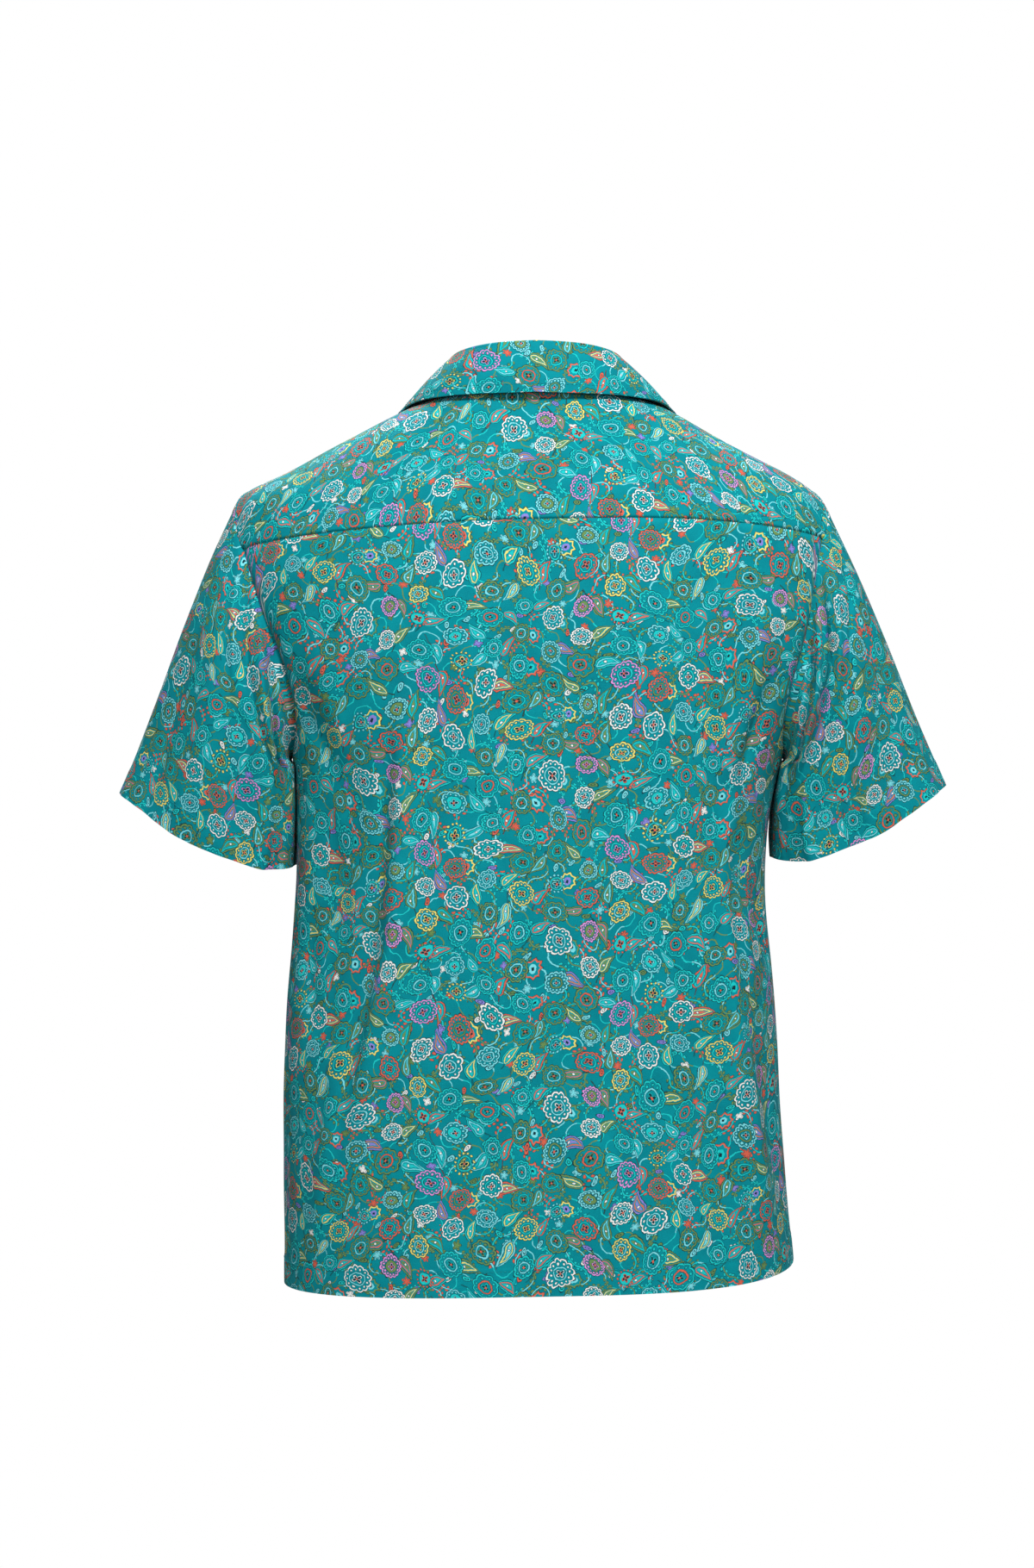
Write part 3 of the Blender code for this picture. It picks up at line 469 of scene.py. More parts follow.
def add_cloth(node, points, cut, tube=False, thickness=CLOTH):
    """A closed sheet round a grid of points, with its place on the flat cut as the UV map.

    A tube's cut has one column more than its points, one turn on from the first. Attribute
    "reverse" is 0 on the printed face and 1 on the back of the cloth.
    """
    half = grid_normals(points, tube) * thickness / 2
    inner = points[..., 0].size
    index = np.arange(inner).reshape(points.shape[:2])
    if tube:
        index = np.concatenate([index, index[:, :1]], axis=1)
    # Quads of the printed face, the back and the rim: by point numbers, then by places on the cut.
    walls = []
    for numbers in (index, np.arange(cut[..., 0].size).reshape(cut.shape[:2])):
        rims = [numbers[0], numbers[-1, ::-1], numbers[:, -1], numbers[::-1, 0]]
        rims = [[rim[1:], rim[:-1], rim[:-1], rim[1:]] for rim in rims[: 2 if tube else 4]]
        quads = grid_quads(numbers)
        walls.append([quads, quads[:, ::-1], np.concatenate(rims, axis=1).T])
    outer, back, rim = walls[0]
    faces = np.concatenate([outer, back + inner, rim + (0, 0, inner, inner)])
    both = np.concatenate([points + half, points - half]).reshape(-1, 3)
    piece = add_mesh(node + "_cloth", both, faces, cotton, node)
    corners = np.concatenate(walls[1]).ravel()
    layer = piece.data.uv_layers.new(name="Cut")
    layer.data.foreach_set("uv", (cut.reshape(-1, 2) * METRES)[corners].ravel())
    reverse = piece.data.attributes.new("reverse", "FLOAT", "CORNER")
    reverse.data.foreach_set("value", (faces.ravel() >= inner).astype(np.float32))
    return piece


class Wire:
    """A number or colour in a material; a sum, product or power of it adds a Math node."""

    tree = None

    def __init__(self, socket):
        self.socket = socket

    def __abs__(self):
        return calc("ABSOLUTE", self)


for sign, operation in zip(
    ("add", "sub", "mul", "truediv", "pow"), ("ADD", "SUBTRACT", "MULTIPLY", "DIVIDE", "POWER")
):
    setattr(Wire, f"__{sign}__", lambda self, other, name=operation: calc(name, self, other))
    setattr(Wire, f"__r{sign}__", lambda self, other, name=operation: calc(name, other, self))


def plug(value, socket):
    """Joins a wire to a socket, or sets a number or a colour there."""
    if isinstance(value, Wire):
        Wire.tree.links.new(value.socket, socket)
    elif value is not None:
        socket.default_value = (*value, 1) if isinstance(value, tuple) else value


def add_node(kind, *values, **settings):
    """A node with its settings, and a value for each of its sockets from the first."""
    node = Wire.tree.nodes.new("ShaderNode" + kind)
    for name, setting in settings.items():
        setattr(node, name, setting)
    for socket, value in zip(node.inputs, values):
        plug(value, socket)
    return node


def source(kind, output, **settings):
    """A wire from a node that nothing goes into."""
    return Wire(add_node(kind, **settings).outputs[output])


def calc(operation, *values, clamp=False):
    """The Math node of that operation, kept from 0 to 1 where clamp is set."""
    return Wire(add_node("Math", *values, operation=operation, use_clamp=clamp).outputs[0])


def joined(x, y):
    """A vector of two numbers and 0."""
    return Wire(add_node("CombineXYZ", x, y).outputs[0])


def split(vector):
    """The three numbers of a vector."""
    return [Wire(output) for output in add_node("SeparateXYZ", vector).outputs]


def noise(vector, scale, detail):
    """Smooth random number about 0.5, of so many humps a unit, each finer one half as strong."""
    return Wire(add_node("TexNoise", vector, None, scale, detail).outputs[0])


def span(x, y):
    """Distance from the middle."""
    return calc("SQRT", x * x + y * y)


def paint(base, colour, mask):
    """A colour laid over another where a mask is 1: a Mix node's seventh and eighth sockets."""
    return Wire(add_node("Mix", mask, *[None] * 5, base, colour, data_type="RGBA").outputs[2])


def coats(colour, shape, *inks, where=None):
    """Inks laid inside a shape one after another, each up to a distance out from the shape's edge.

    A shape is the distance from its edge, below 0 inside. The mask is 1 there, over a soft edge.
    """
    for ink, out in inks:
        mask = calc("MULTIPLY_ADD", shape, -1 / SOFT_EDGE, 0.5 + out / SOFT_EDGE, clamp=True)
        colour = paint(colour, ink, mask if where is None else mask * where)
    return colour


def palette(value, *colours):
    """One of several colours, picked by a number from 0 to 1."""
    node = add_node("ValToRGB", value)
    node.color_ramp.interpolation = "CONSTANT"
    elements = node.color_ramp.elements
    for number, colour in enumerate(colours):
        place = number / len(colours)
        element = elements[number] if number < 2 else elements.new(place)
        element.position, element.color = place, (*colour, 1)
    return Wire(node.outputs[0])


def cell_numbers(column, row):
    """Three numbers from 0 to 1 that differ by cell."""
    rolls = add_node("TexWhiteNoise", joined(column, row), noise_dimensions="2D")
    return split(Wire(rolls.outputs["Color"]))


def remainder(number, whole):
    """What is left of a number after taking off whole ones, never below 0."""
    return calc("FLOORED_MODULO", number, whole)


def half_drop(x, y, size, offset, jitter, seed):
    """Cells of a half-drop repeat: place from each one's own centre, turned, and four numbers.

    Every other column is moved by half a cell, and the four numbers from 0 to 1 differ by cell.
    """
    x = x / size + offset
    column = calc("FLOOR", x)
    y = y / size + remainder(column, 2.0) * 0.5 + offset
    row = calc("FLOOR", y)
    spot = remainder(column, PRINT_COLUMNS) + seed, remainder(row, PRINT_ROWS)
    first, second, third = cell_numbers(*spot)
    turn = calc("FRACT", second * 5.7 + third * 3.3)
    x = (x - column - 0.5) * size - (first - 0.5) * jitter
    y = (y - row - 0.5) * size - (second - 0.5) * jitter
    cosine, sine = calc("COSINE", turn * 6.283), calc("SINE", turn * 6.283)
    return x * cosine - y * sine, x * sine + y * cosine, turn, first, second, third


INK = (0.005, 0.022, 0.034)
IVORY, BUTTER = (0.90, 0.90, 0.86), (0.85, 0.72, 0.16)
CORAL, PINK, LILAC = (0.74, 0.12, 0.06), (0.74, 0.30, 0.70), (0.26, 0.22, 0.66)
AQUA, SKY, OLIVE = (0.012, 0.56, 0.55), (0.20, 0.70, 0.76), (0.15, 0.26, 0.07)
GROUND, DEEP_GROUND = (0.0008, 0.270, 0.315), (0.0008, 0.195, 0.240)
PALE_YARN, REVERSE = (0.004, 0.37, 0.41), (0.06, 0.33, 0.35)
PRINT_COLUMNS, PRINT_ROWS = 6, 5  # cells before the print comes round again
MOTIF_SPACING, VINE_SPACING = 28.0, 15.0
PRINT_SCALE = 1130.0  # the motifs are drawn in millimetres and printed a little smaller
SOFT_EDGE = 0.3  # millimetres over which an ink gives way to the next
# How the print is put out of true, as drawn by hand. Columns: noise per mm, its detail, reach.
WANDERING = ((0.016, 0.0, 22.0), (0.10, 0.0, 3.4), (0.45, 1.0, 1.3))


def vines(x, y, colour):
    """Scrolling stems: quarter circles between the middles of a cell's sides, leaves beside."""
    across, up = x / VINE_SPACING, y / VINE_SPACING
    column, row = calc("FLOOR", across), calc("FLOOR", up)
    first, second, third = cell_numbers(column, row)
    across = (across - column - 0.5) * (calc("GREATER_THAN", first, 0.5) * 2.0 - 1.0)
    up = up - row - 0.5
    one, other = (abs(span(across + half, up + half) - 0.5) for half in (0.5, -0.5))
    away = calc("MINIMUM", one, other) * VINE_SPACING
    step = (calc("FRACT", (across - up) * 2.6 + second) - 0.5) * 4.1
    leaf = calc("SQRT", step * step * 0.55 + (away - 1.6) ** 2.0) - 0.8
    leafy = calc("GREATER_THAN", third, 0.35)
    leaf_colour = palette(third, SKY, AQUA, OLIVE, CORAL, AQUA, OLIVE)
    colour = coats(colour, leaf, (INK, 0.3), (leaf_colour, 0), where=leafy)
    colour = coats(colour, away, (INK, 0.62), where=0.5)
    return coats(colour, away, (palette(second, AQUA, SKY, OLIVE), 0.45))


def blossoms(x, y, colour):
    """Flowers, r - (2.0 |cos(n angle / 2)| + 1.6), and seeds, on a lattice turned by an eighth."""
    x, y = (x + y) / math.sqrt(2), (y - x) / math.sqrt(2)
    x, y, turn, first, second, third = half_drop(x, y, MOTIF_SPACING / 2, 0.5, 4.0, 29)
    petals = calc("FLOOR", third * 3) + 4
    wave = abs(calc("COSINE", petals * calc("ARCTAN2", y, x) * 0.5))
    flower = span(x, y) - (wave * 2.0 + 1.6)
    seed = span(x * 0.5, y) - 1.7
    shape = flower + (seed - flower) * calc("GREATER_THAN", first, 0.5)
    shape = shape + calc("GREATER_THAN", turn, 0.62) * 9.0  # bare places
    main = palette(second, CORAL, AQUA, OLIVE, SKY, LILAC, AQUA, IVORY, OLIVE, SKY)
    colour = coats(colour, shape, (INK, 0.40), (main, 0))
    return coats(colour, abs(shape + 0.9), (INK, 0.2))


def drops_and_stars(x, y, colour):
    """Bent drops, 11.5 mm t^0.5 (1 - t)^0.85 either side of an axis bent by t^3, lines inside.

    In the other cells, an eight-pointed star of two squares.
    """
    x, y, _, first, second, third = half_drop(x, y, MOTIF_SPACING, 0.5, 6.0, 17)
    drop_here = calc("GREATER_THAN", first, 0.22)
    star_here = 1 - drop_here
    main = palette(second, SKY, OLIVE, AQUA, CORAL, AQUA, OLIVE, LILAC, SKY)
    inner = palette(third, AQUA, CORAL, OLIVE, SKY, BUTTER, AQUA)
    share = calc("MULTIPLY_ADD", y, 1 / 18.0, 0.45, clamp=True)
    bent = x - share**3.0 * 8.0 + 0.6
    drop = (abs(bent) - share**0.5 * (1 - share) ** 0.85 * 11.5) * 0.8
    lines = (inner, -1.5), (GROUND, -2.15), (main, -2.8)
    outline = (INK, 0.40), (main, 0), (INK, -0.75), (GROUND, -1.0)
    colour = coats(colour, drop, *outline, *lines, where=drop_here)
    colour = coats(colour, span(bent, y + 1.6), (INK, 1.15), (IVORY, 0.8), where=drop_here)
    square, lozenge = calc("MAXIMUM", abs(x), abs(y)), (abs(x) + abs(y)) * 0.7071
    star, eight_sided = (calc(pick, square, lozenge) for pick in ("MINIMUM", "MAXIMUM"))
    colour = coats(colour, star, (INK, 5.9), (inner, 5.5), (GROUND, 4.4), where=star_here)
    colour = coats(colour, eight_sided, (main, 3.0), where=star_here)
    return coats(colour, square, (INK, 1.1), where=star_here)


def rosettes(x, y, colour):
    """Flower heads by radius and angle a: scallops |cos(n a / 2)|^0.6, beads, a ring, a star."""
    x, y, turn, first, second, third = half_drop(x, y, MOTIF_SPACING, 0.0, 5.0, 3)
    radius, around = span(x, y), calc("ARCTAN2", y, x)
    petals = calc("FLOOR", first * 4) * 2 + 8
    size = second * 3.6 + 8.2
    main = palette(
        third, IVORY, OLIVE, SKY, PINK, OLIVE, IVORY, AQUA, OLIVE, SKY, CORAL, AQUA, BUTTER
    )
    also = palette(first, CORAL, SKY, AQUA, SKY, OLIVE, AQUA)
    wave = abs(calc("COSINE", petals * around * 0.5))
    edge = radius - size * (wave**0.6 * 0.16 + 0.84)
    edge = edge + calc("GREATER_THAN", first, 0.88) * 40.0  # some have no scallops
    colour = coats(colour, edge, (INK, 0.55), (main, 0), (INK, -1.05), (GROUND, -1.35))
    petal = (calc("FRACT", petals * around / 6.283 + 0.5) - 0.5) * radius * 6.283 / petals
    bead = span(petal, radius - size * 0.70)
    colour = coats(colour, bead, (INK, 1.10), (main, 0.75))
    disc = radius - size * 0.48
    colour = coats(colour, abs(disc), (INK, 0.80), (also, 0.45))
    colour = coats(colour, disc, (also, 0), where=calc("GREATER_THAN", turn, 0.90))
    star = radius - size * 0.34 * (abs(calc("COSINE", around * 2.0)) * 0.70 + 0.30)
    colour = coats(colour, star, (INK, 0.35), (main, 0), (INK, -0.65))
    return coats(colour, radius, (CORAL, 0.8))


def begin_material(name):
    """A new material, which the nodes that follow belong to."""
    material = bpy.data.materials.new(name)
    material.use_nodes = True
    Wire.tree = material.node_tree
    return material


def set_surface(inputs, relief=None, strength=None, depth=None):
    """Sets a surface by the names of its sockets, with bumps of a depth in metres on it."""
    if relief:
        bump = add_node("Bump", strength, depth)
        plug(relief, bump.inputs["Height"])
        inputs["Normal"] = Wire(bump.outputs[0])
    for name, value in inputs.items():
        plug(value, Wire.tree.nodes["Principled BSDF"].inputs[name])


def printed_cotton():
    """The print, on the flat cut: ground, vines, blossoms, drops and flowers; weave and slubs."""
    material = begin_material("printed_cotton")
    u, v, _ = split(source("UVMap", "UV", uv_map="Cut"))
    place, turned = joined(u * 1000, v * 1000), joined(v * 1000, u * 1000)
    x, y = u * PRINT_SCALE, v * PRINT_SCALE
    for scale, detail, reach in WANDERING:
        x = x + (noise(place, scale, detail) - 0.5) * reach
        y = y + (noise(turned, scale, detail) - 0.5) * reach
    cloudy = calc("MULTIPLY_ADD", noise(place, 0.035, 3.0), 2.4, -0.7, clamp=True)
    colour = paint(DEEP_GROUND, GROUND, cloudy)
    for motifs in (vines, blossoms, drops_and_stars, rosettes):
        colour = motifs(x, y, colour)
    # Ink lies unevenly on the slubby yarns, and the back of the cloth shows it paler.
    slub_u = noise(joined(u * 260, v * 2600), 1.0, 3.0)
    slub_v = noise(joined(u * 2600, v * 260), 1.0, 3.0)
    patchy = (slub_u + slub_v - 1.0) * 0.8
    colour = paint(colour, PALE_YARN, calc("MAXIMUM", patchy, 0.0, clamp=True))
    colour = paint(colour, DEEP_GROUND, calc("MAXIMUM", patchy * -0.8, 0.0, clamp=True))
    colour = paint(colour, REVERSE, source("Attribute", "Fac", attribute_name="reverse") * 0.6)
    yarn = 6283.0 / 0.45  # from metres to radians, a turn for each two yarns
    weave = calc("SINE", u * yarn) * calc("SINE", v * yarn) * 0.35 + (slub_u + slub_v) * 1.1
    surface = {"Base Color": colour, "Roughness": slub_u * 0.12 + 0.74, "Specular IOR Level": 0.06}
    surface |= {"Sheen Weight": 0.015, "Sheen Roughness": 0.5}
    set_surface(surface, weave, 0.45, 0.00018)
    return material


def panel(edges, size, foot=False):
    """Grid of places between edges, with rows along the hem's stitches if it has a foot."""
    u, v = map(shares, size)
    if foot:
        v = np.union1d(v, (HEM_DEPTH + STITCH_BAND) / size[1])
    return patch(edges, u, v)


def on_body(grid, seams, foot=False, lift=0.0):
    """The panel's cloth: the skin, its slight waves, and the relief of its seams and hem.

    seams says how the left, right, bottom and top edges are sewn, and None where one is free.
    """
    points = skin(grid)
    across, up = lengths(points, axis=1), lengths(points)
    relief = drape(points) + lift
    ways = across, across[:, -1:] - across, up, up[-1:] - up
    for number, (way, kind) in enumerate(zip(ways, seams)):
        if kind:
            relief = relief + seam_relief(way, kind)
        if kind and number < 2:  # an armhole
            relief = relief + armhole_pull(way, points[..., 2], BODY_REACH)
    if foot:
        relief = relief + hem_relief(up, across, HEM_DEPTH)
    return points + form_normal(grid) * relief[..., None]


def flat_cut(points, corner, centred=False):
    """Place of each point on the flat cut: way along its row, and up its column, from a corner."""
    across = lengths(points, axis=1)
    if centred:
        across = across - across[:, len(across[0]) // 2][:, None]
    return pairs(across + corner[0], lengths(points) + corner[1])


def add_panel(node, points, cut, thickness=CLOTH):
    """A panel of the body, its printed face outward."""
    if outward_normals(points)[1] < 0:
        points, cut = points[:, ::-1], cut[:, ::-1]
    return add_cloth(node, points, cut, thickness=thickness)


def line_in(points, normals, distance, axis=0, from_end=False):
    """The line of a grid's face that runs at a way in from one of its edges, and normals there."""
    points, normals = np.swapaxes(points, 0, axis), np.swapaxes(normals, 0, axis)
    if from_end:
        points, normals = points[::-1], normals[::-1]
    way = lengths(points)
    row = (way < distance).sum(axis=0).clip(1, len(way) - 1)
    column = np.arange(points.shape[1])
    past = (distance - way[row - 1, column]) / (way[row, column] - way[row - 1, column])
    line, normal = (
        grid[row - 1, column] * (1 - past[:, None]) + grid[row, column] * past[:, None]
        for grid in (points, normals)
    )
    return line, unit(normal)


def part_of(line, normals, start, end):
    """The part of a line from a way along it to a way short of its end."""
    way = lengths(line)
    kept = (way >= start) & (way < way[-1] - end)
    return line[kept], normals[kept]


STITCH, STITCH_PITCH, THREAD_RADIUS, THREAD_SIDES = 2.5, 3.3, 0.2, 5
# A stitch's rings. Columns: place along it, height over the cloth, share of the thread's radius.
STITCH_RINGS = np.array(
    [(-0.5, -0.2, 0.5), (-0.36, 0.1, 1), (0, 0.18, 1), (0.36, 0.1, 1), (0.5, -0.2, 0.5)]
)


def ring_quads(rings):
    """Quads between each ring of point numbers and the next."""
    low, high = rings[..., :-1, :], rings[..., 1:, :]
    corners = [low, high, np.roll(high, -1, axis=-1), np.roll(low, -1, axis=-1)]
    return np.stack(corners, -1).reshape(-1, 4)


def threads(starts, ends, normals, radius=THREAD_RADIUS, arch=1.0):
    """A short bent thread from each start to each end: rings round a line that dips at both."""
    place, height, share = STITCH_RINGS.T[:, None, :, None]
    along = unit(ends - starts)
    normals = unit(normals - along * (along * normals).sum(-1, keepdims=True))
    middle = ((starts + ends) / 2)[:, None] + place * (ends - starts)[:, None]
    middle = middle + height * arch * normals[:, None]
    turn = (np.arange(THREAD_SIDES) * TURN / THREAD_SIDES)[:, None]
    round_it = np.cos(turn) * np.cross(along, normals)[:, None] + np.sin(turn) * normals[:, None]
    points = middle[:, :, None] + share[..., None] * radius * round_it[:, None]
    index = np.arange(points[..., 0].size).reshape(points.shape[:3])
    caps = np.concatenate([index[:, 0], index[:, -1, ::-1]])
    return points.reshape(-1, 3), [*ring_quads(index).tolist(), *caps.tolist()]


def sewing_thread():
    """Twisted polyester, a little lighter than the ground of the print."""
    material = begin_material("sewing_thread")
    place = source("TexCoord", "Object")
    colour = paint((0.003, 0.22, 0.25), (0.010, 0.36, 0.40), noise(place, 900.0, 2.0))
    surface = {"Base Color": colour, "Roughness": 0.6, "Specular IOR Level": 0.2}
    set_surface(surface, noise(place, 5000.0, 1.0), 0.4, 0.0001)
    return material


def along_line(line, way, at):
    """Points of a line at given ways along it."""
    return np.stack([np.interp(at, way, line[:, axis]) for axis in range(3)], -1)


def add_stitches(name, lines):
    """Rows of stitches along lines of points, each line with its normals, as one piece."""
    runs = []
    for line, normal in lines:
        way = lengths(line)
        count = round(way[-1] / STITCH_PITCH)
        middle = (np.arange(count) + 0.5) * way[-1] / count
        lifted = line + normal * CLOTH / 2
        ends = [along_line(lifted, way, middle + half) for half in (-STITCH / 2, STITCH / 2)]
        runs.append([*ends, along_line(normal, way, middle)])
    points, faces = threads(*map(np.concatenate, zip(*runs)))
    return add_mesh(name, points, faces, thread)


def add_sheet(piece, rows, rests_on, **sheet):
    """Adds the stitches along a cloth's rows. What it rests on and how the sheet is cut, held and
    laid are not used.
    """
    stitches = add_stitches(piece.name.replace("_cloth", "_stitches"), rows)


cotton, thread = printed_cotton(), sewing_thread()
holes = {side: armhole(side) for side in (LEFT, RIGHT)}
back_edges = (
    hem(0, 180, BACK_CELLS),
    yoke_seam(),
    *(np.concatenate([side_seam(side), holes[side][0][1:]]) for side in (LEFT, RIGHT)),
)
back_grid = panel(back_edges, BACK_SIZE, foot=True)
back_points = on_body(back_grid, ("under", "under", None, "under"), foot=True)
back = add_panel("back", back_points, flat_cut(back_points, (0, 0), centred=True))
hem_line = line_in(back_points, outward_normals(back_points)[0], HEM_STITCH)
back_hem = add_stitches("back_hem_stitches", [hem_line])
size = {"flat": (0.50, 0.61), "area": 0.277}

# ---- Yoke ----
# One layer over both shoulders, seamed to the back, to the fronts and to the neck of the collar.
# Its grain runs along the shoulders, so its print is laid out on the unrolled shoulder.

# The neck seam: rows in front by distance out and height, at the side by degrees and height.
GORGE, NECK_FRONT, YOKE_NECK_CORNER = (45, -45), (57, -31), (66, -18)
NECK_SIDE = [(-25, -6.8), (0, -4.8), (30, -3.6), (62, -1.2)]
NECK_CORNER = 2  # the row where yoke and front meet
YOKE_SIZE, YOKE_CUT = (660, 110), (31, 590)  # YOKE_CUT is where it lies on the printed cloth
RIDGE_ROWS = 8  # sections from the neck to the tip of the shoulder
SHOULDER_ROUND, SHOULDER_BACK = 75, 20  # radius of the shoulder's roll, and where its axis runs


def neck_rows():
    """Rows of the whole neck seam, from the left gorge round the back to the right one."""
    front = np.array([GORGE, NECK_FRONT, YOKE_NECK_CORNER], float)
    left, right = (
        [
            *place_across(side, *front.T, FRONT),
            *((mirrored(side, math.radians(degrees)), height) for degrees, height in NECK_SIDE),
        ]
        for side in (LEFT, RIGHT)
    )
    return np.array([*left, (math.pi / 2, 0.0), *right[::-1]])


def yoke_front_seam(side):
    """From the armhole up to the neck, in front of the shoulder."""
    low = place_at_depth(side, *YOKE_CORNER_FRONT)
    middle_out = (YOKE_NECK_CORNER[0] + form(low)[0] * side) / 2
    middle_height = (YOKE_NECK_CORNER[1] + YOKE_CORNER_FRONT[1]) / 2 + 1
    middle = place_across(side, middle_out, middle_height, FRONT)
    return seam([low, middle, place_across(side, *YOKE_NECK_CORNER, FRONT)], YOKE_ROWS)


def yoke_neck():
    """The neck seam from one of the yoke's front corners to the other."""
    rows = neck_rows()
    return seam(rows, BACK_CELLS + 2 * OVER_CELLS, NECK_CORNER, len(rows) - 1 - NECK_CORNER)


def unrolled_shoulder(points):
    """Flat place on the yoke: way out along the shoulder's ridge, radius times angle round it."""
    height, out = SECTIONS[:RIDGE_ROWS, :2].T
    ridge_way = out[0] + lengths(pairs(out, height))
    x, y, z = np.moveaxis(points, -1, 0)
    ridge = np.interp(np.abs(x), out, height)
    way = np.where(np.abs(x) < out[0], np.abs(x), np.interp(np.abs(x), out, ridge_way))
    angle = np.arctan2(z - ridge + SHOULDER_ROUND, y - SHOULDER_BACK)
    return pairs(-np.sign(x) * way, SHOULDER_ROUND * angle)


yoke_edges = (
    np.concatenate([holes[LEFT][1][::-1][:-1], yoke_seam(), holes[RIGHT][1][1:]]),
    yoke_neck(),
    yoke_front_seam(LEFT),
    yoke_front_seam(RIGHT),
)
yoke_points = on_body(panel(yoke_edges, YOKE_SIZE), ("lying", "lying", "lying", "plain"))
yoke = add_panel("yoke", yoke_points, unrolled_shoulder(yoke_points) + YOKE_CUT)

# ---- Fronts ----
# Two pieces, the left one over the right by 34 mm, with a facing turned in behind each free edge.
# They hide behind the back in the photograph, so they are plain, with folds like those of the back.

LAP, BREAK_HEIGHT = 17, -205
LAP_STEP, LAP_FADE, LAP_TOP = 1.7, (50, 32), (-122, -157)
FACING_STITCH = 6  # from the free edge to the row of stitches along it
FRONT_SIZE, FRONT_CUT = (300, 640), {LEFT: (-310, 20), RIGHT: (-300, 60)}


def roll_out(height):
    """Distance of the lapel's roll line from the middle: straight from the break to the gorge."""
    share = (height - BREAK_HEIGHT) / (GORGE[1] - BREAK_HEIGHT)
    return -LAP + share * (GORGE[0] + LAP)


def front_edge(side):
    """The free edge from the hem to the break, then the lapel's roll line to the gorge."""
    foot = hem(270, 270, 1)[0, 1]
    heights = np.linspace(foot, BREAK_HEIGHT, BREAK_ROWS * FINE + 1)
    straight = place_across(side, -LAP, heights, FRONT)
    roll_cells = SIDE_ROWS + ARMHOLE_ROWS - BREAK_ROWS
    heights = np.linspace(BREAK_HEIGHT, GORGE[1], roll_cells * FINE + 1)
    return np.concatenate([straight, place_across(side, roll_out(heights), heights, FRONT)[1:]])


def front_neck(side):
    """The neck seam from the yoke's corner to the gorge."""
    if side == LEFT:
        return seam(neck_rows(), NECK_CELLS, 0, NECK_CORNER)[::-1]
    return seam(neck_rows(), NECK_CELLS, -1 - NECK_CORNER, -1)


def lap_step(side, grid):
    """How far the right front lies in under the left one."""
    covered = ramp(-form(grid)[..., 0], *LAP_FADE) * ramp(grid[..., 1], *LAP_TOP)
    return covered * (0 if side == LEFT else -LAP_STEP)


def front_edges(side):
    """Bottom, top, outer and inner edges of a front."""
    outer = np.concatenate([side_seam(side), holes[side][2][::-1][1:]])
    inner = front_edge(side)
    bottom = hem(*np.degrees((outer[0, 0], inner[0, 0])), YOKE_ROWS + NECK_CELLS)
    inner[0] = bottom[-1]
    return bottom, np.concatenate([yoke_front_seam(side), front_neck(side)[1:]]), outer, inner


front_points = {}
for side, word in SIDES:
    grid = panel(front_edges(side), FRONT_SIZE, foot=True)
    seams = ("under", None, None, "under")
    points = front_points[side] = on_body(grid, seams, foot=True, lift=lap_step(side, grid))
    piece = add_panel(f"front_{word}", points, flat_cut(points, FRONT_CUT[side]))
    normals = outward_normals(points)[0]
    edge, edge_normals = line_in(points, normals, FACING_STITCH, axis=1, from_end=True)
    below = edge[:, 2] < BREAK_HEIGHT
    rows = [line_in(points, normals, HEM_STITCH), (edge[below], edge_normals[below])]
    add_sheet(piece, rows, ["yoke_cloth"], flat=(0.31, 0.67), held="hung", area=0.167)

# ---- Lapels ----
# The upper corner of each front, turned back along its roll line and faced with the same cloth.
# Two layers, soft at the break and pressed flat at the gorge, with a row of stitches at the edge.

NOTCH, LAPEL_POINT = (68, -64), (96, -98)
LAPEL_CLEAR = 1.2
LAPEL_START = {LEFT: (-196, -196), RIGHT: (-156, -179)}
LAPEL_THICKNESS, LAPEL_LIFT = 1.1, 1.9
ROLL_SOFT, LAPEL_SPRING = 2.6, 1.6
LAPEL_CELLS, LAPEL_ROWS = 5, 9
LAPEL_SIZE, LAPEL_STEPS, LAPEL_CUT = (60, 150), (2.0, 2.5), (40, 300)
LAPEL_STITCH, ROLL_WAY = 5.5, 12  # from the edges, and from the inside of the roll


def in_front(side, corners, cells):
    """Straight runs between corners, given by distance out and height, each with its cells."""
    runs = [np.array(corners[:1], float)]
    for start, end, number in zip(corners[:-1], corners[1:], cells):
        runs.append(np.linspace(start, end, number * FINE + 1)[1:])
    return place_across(side, *np.concatenate(runs).T, FRONT)


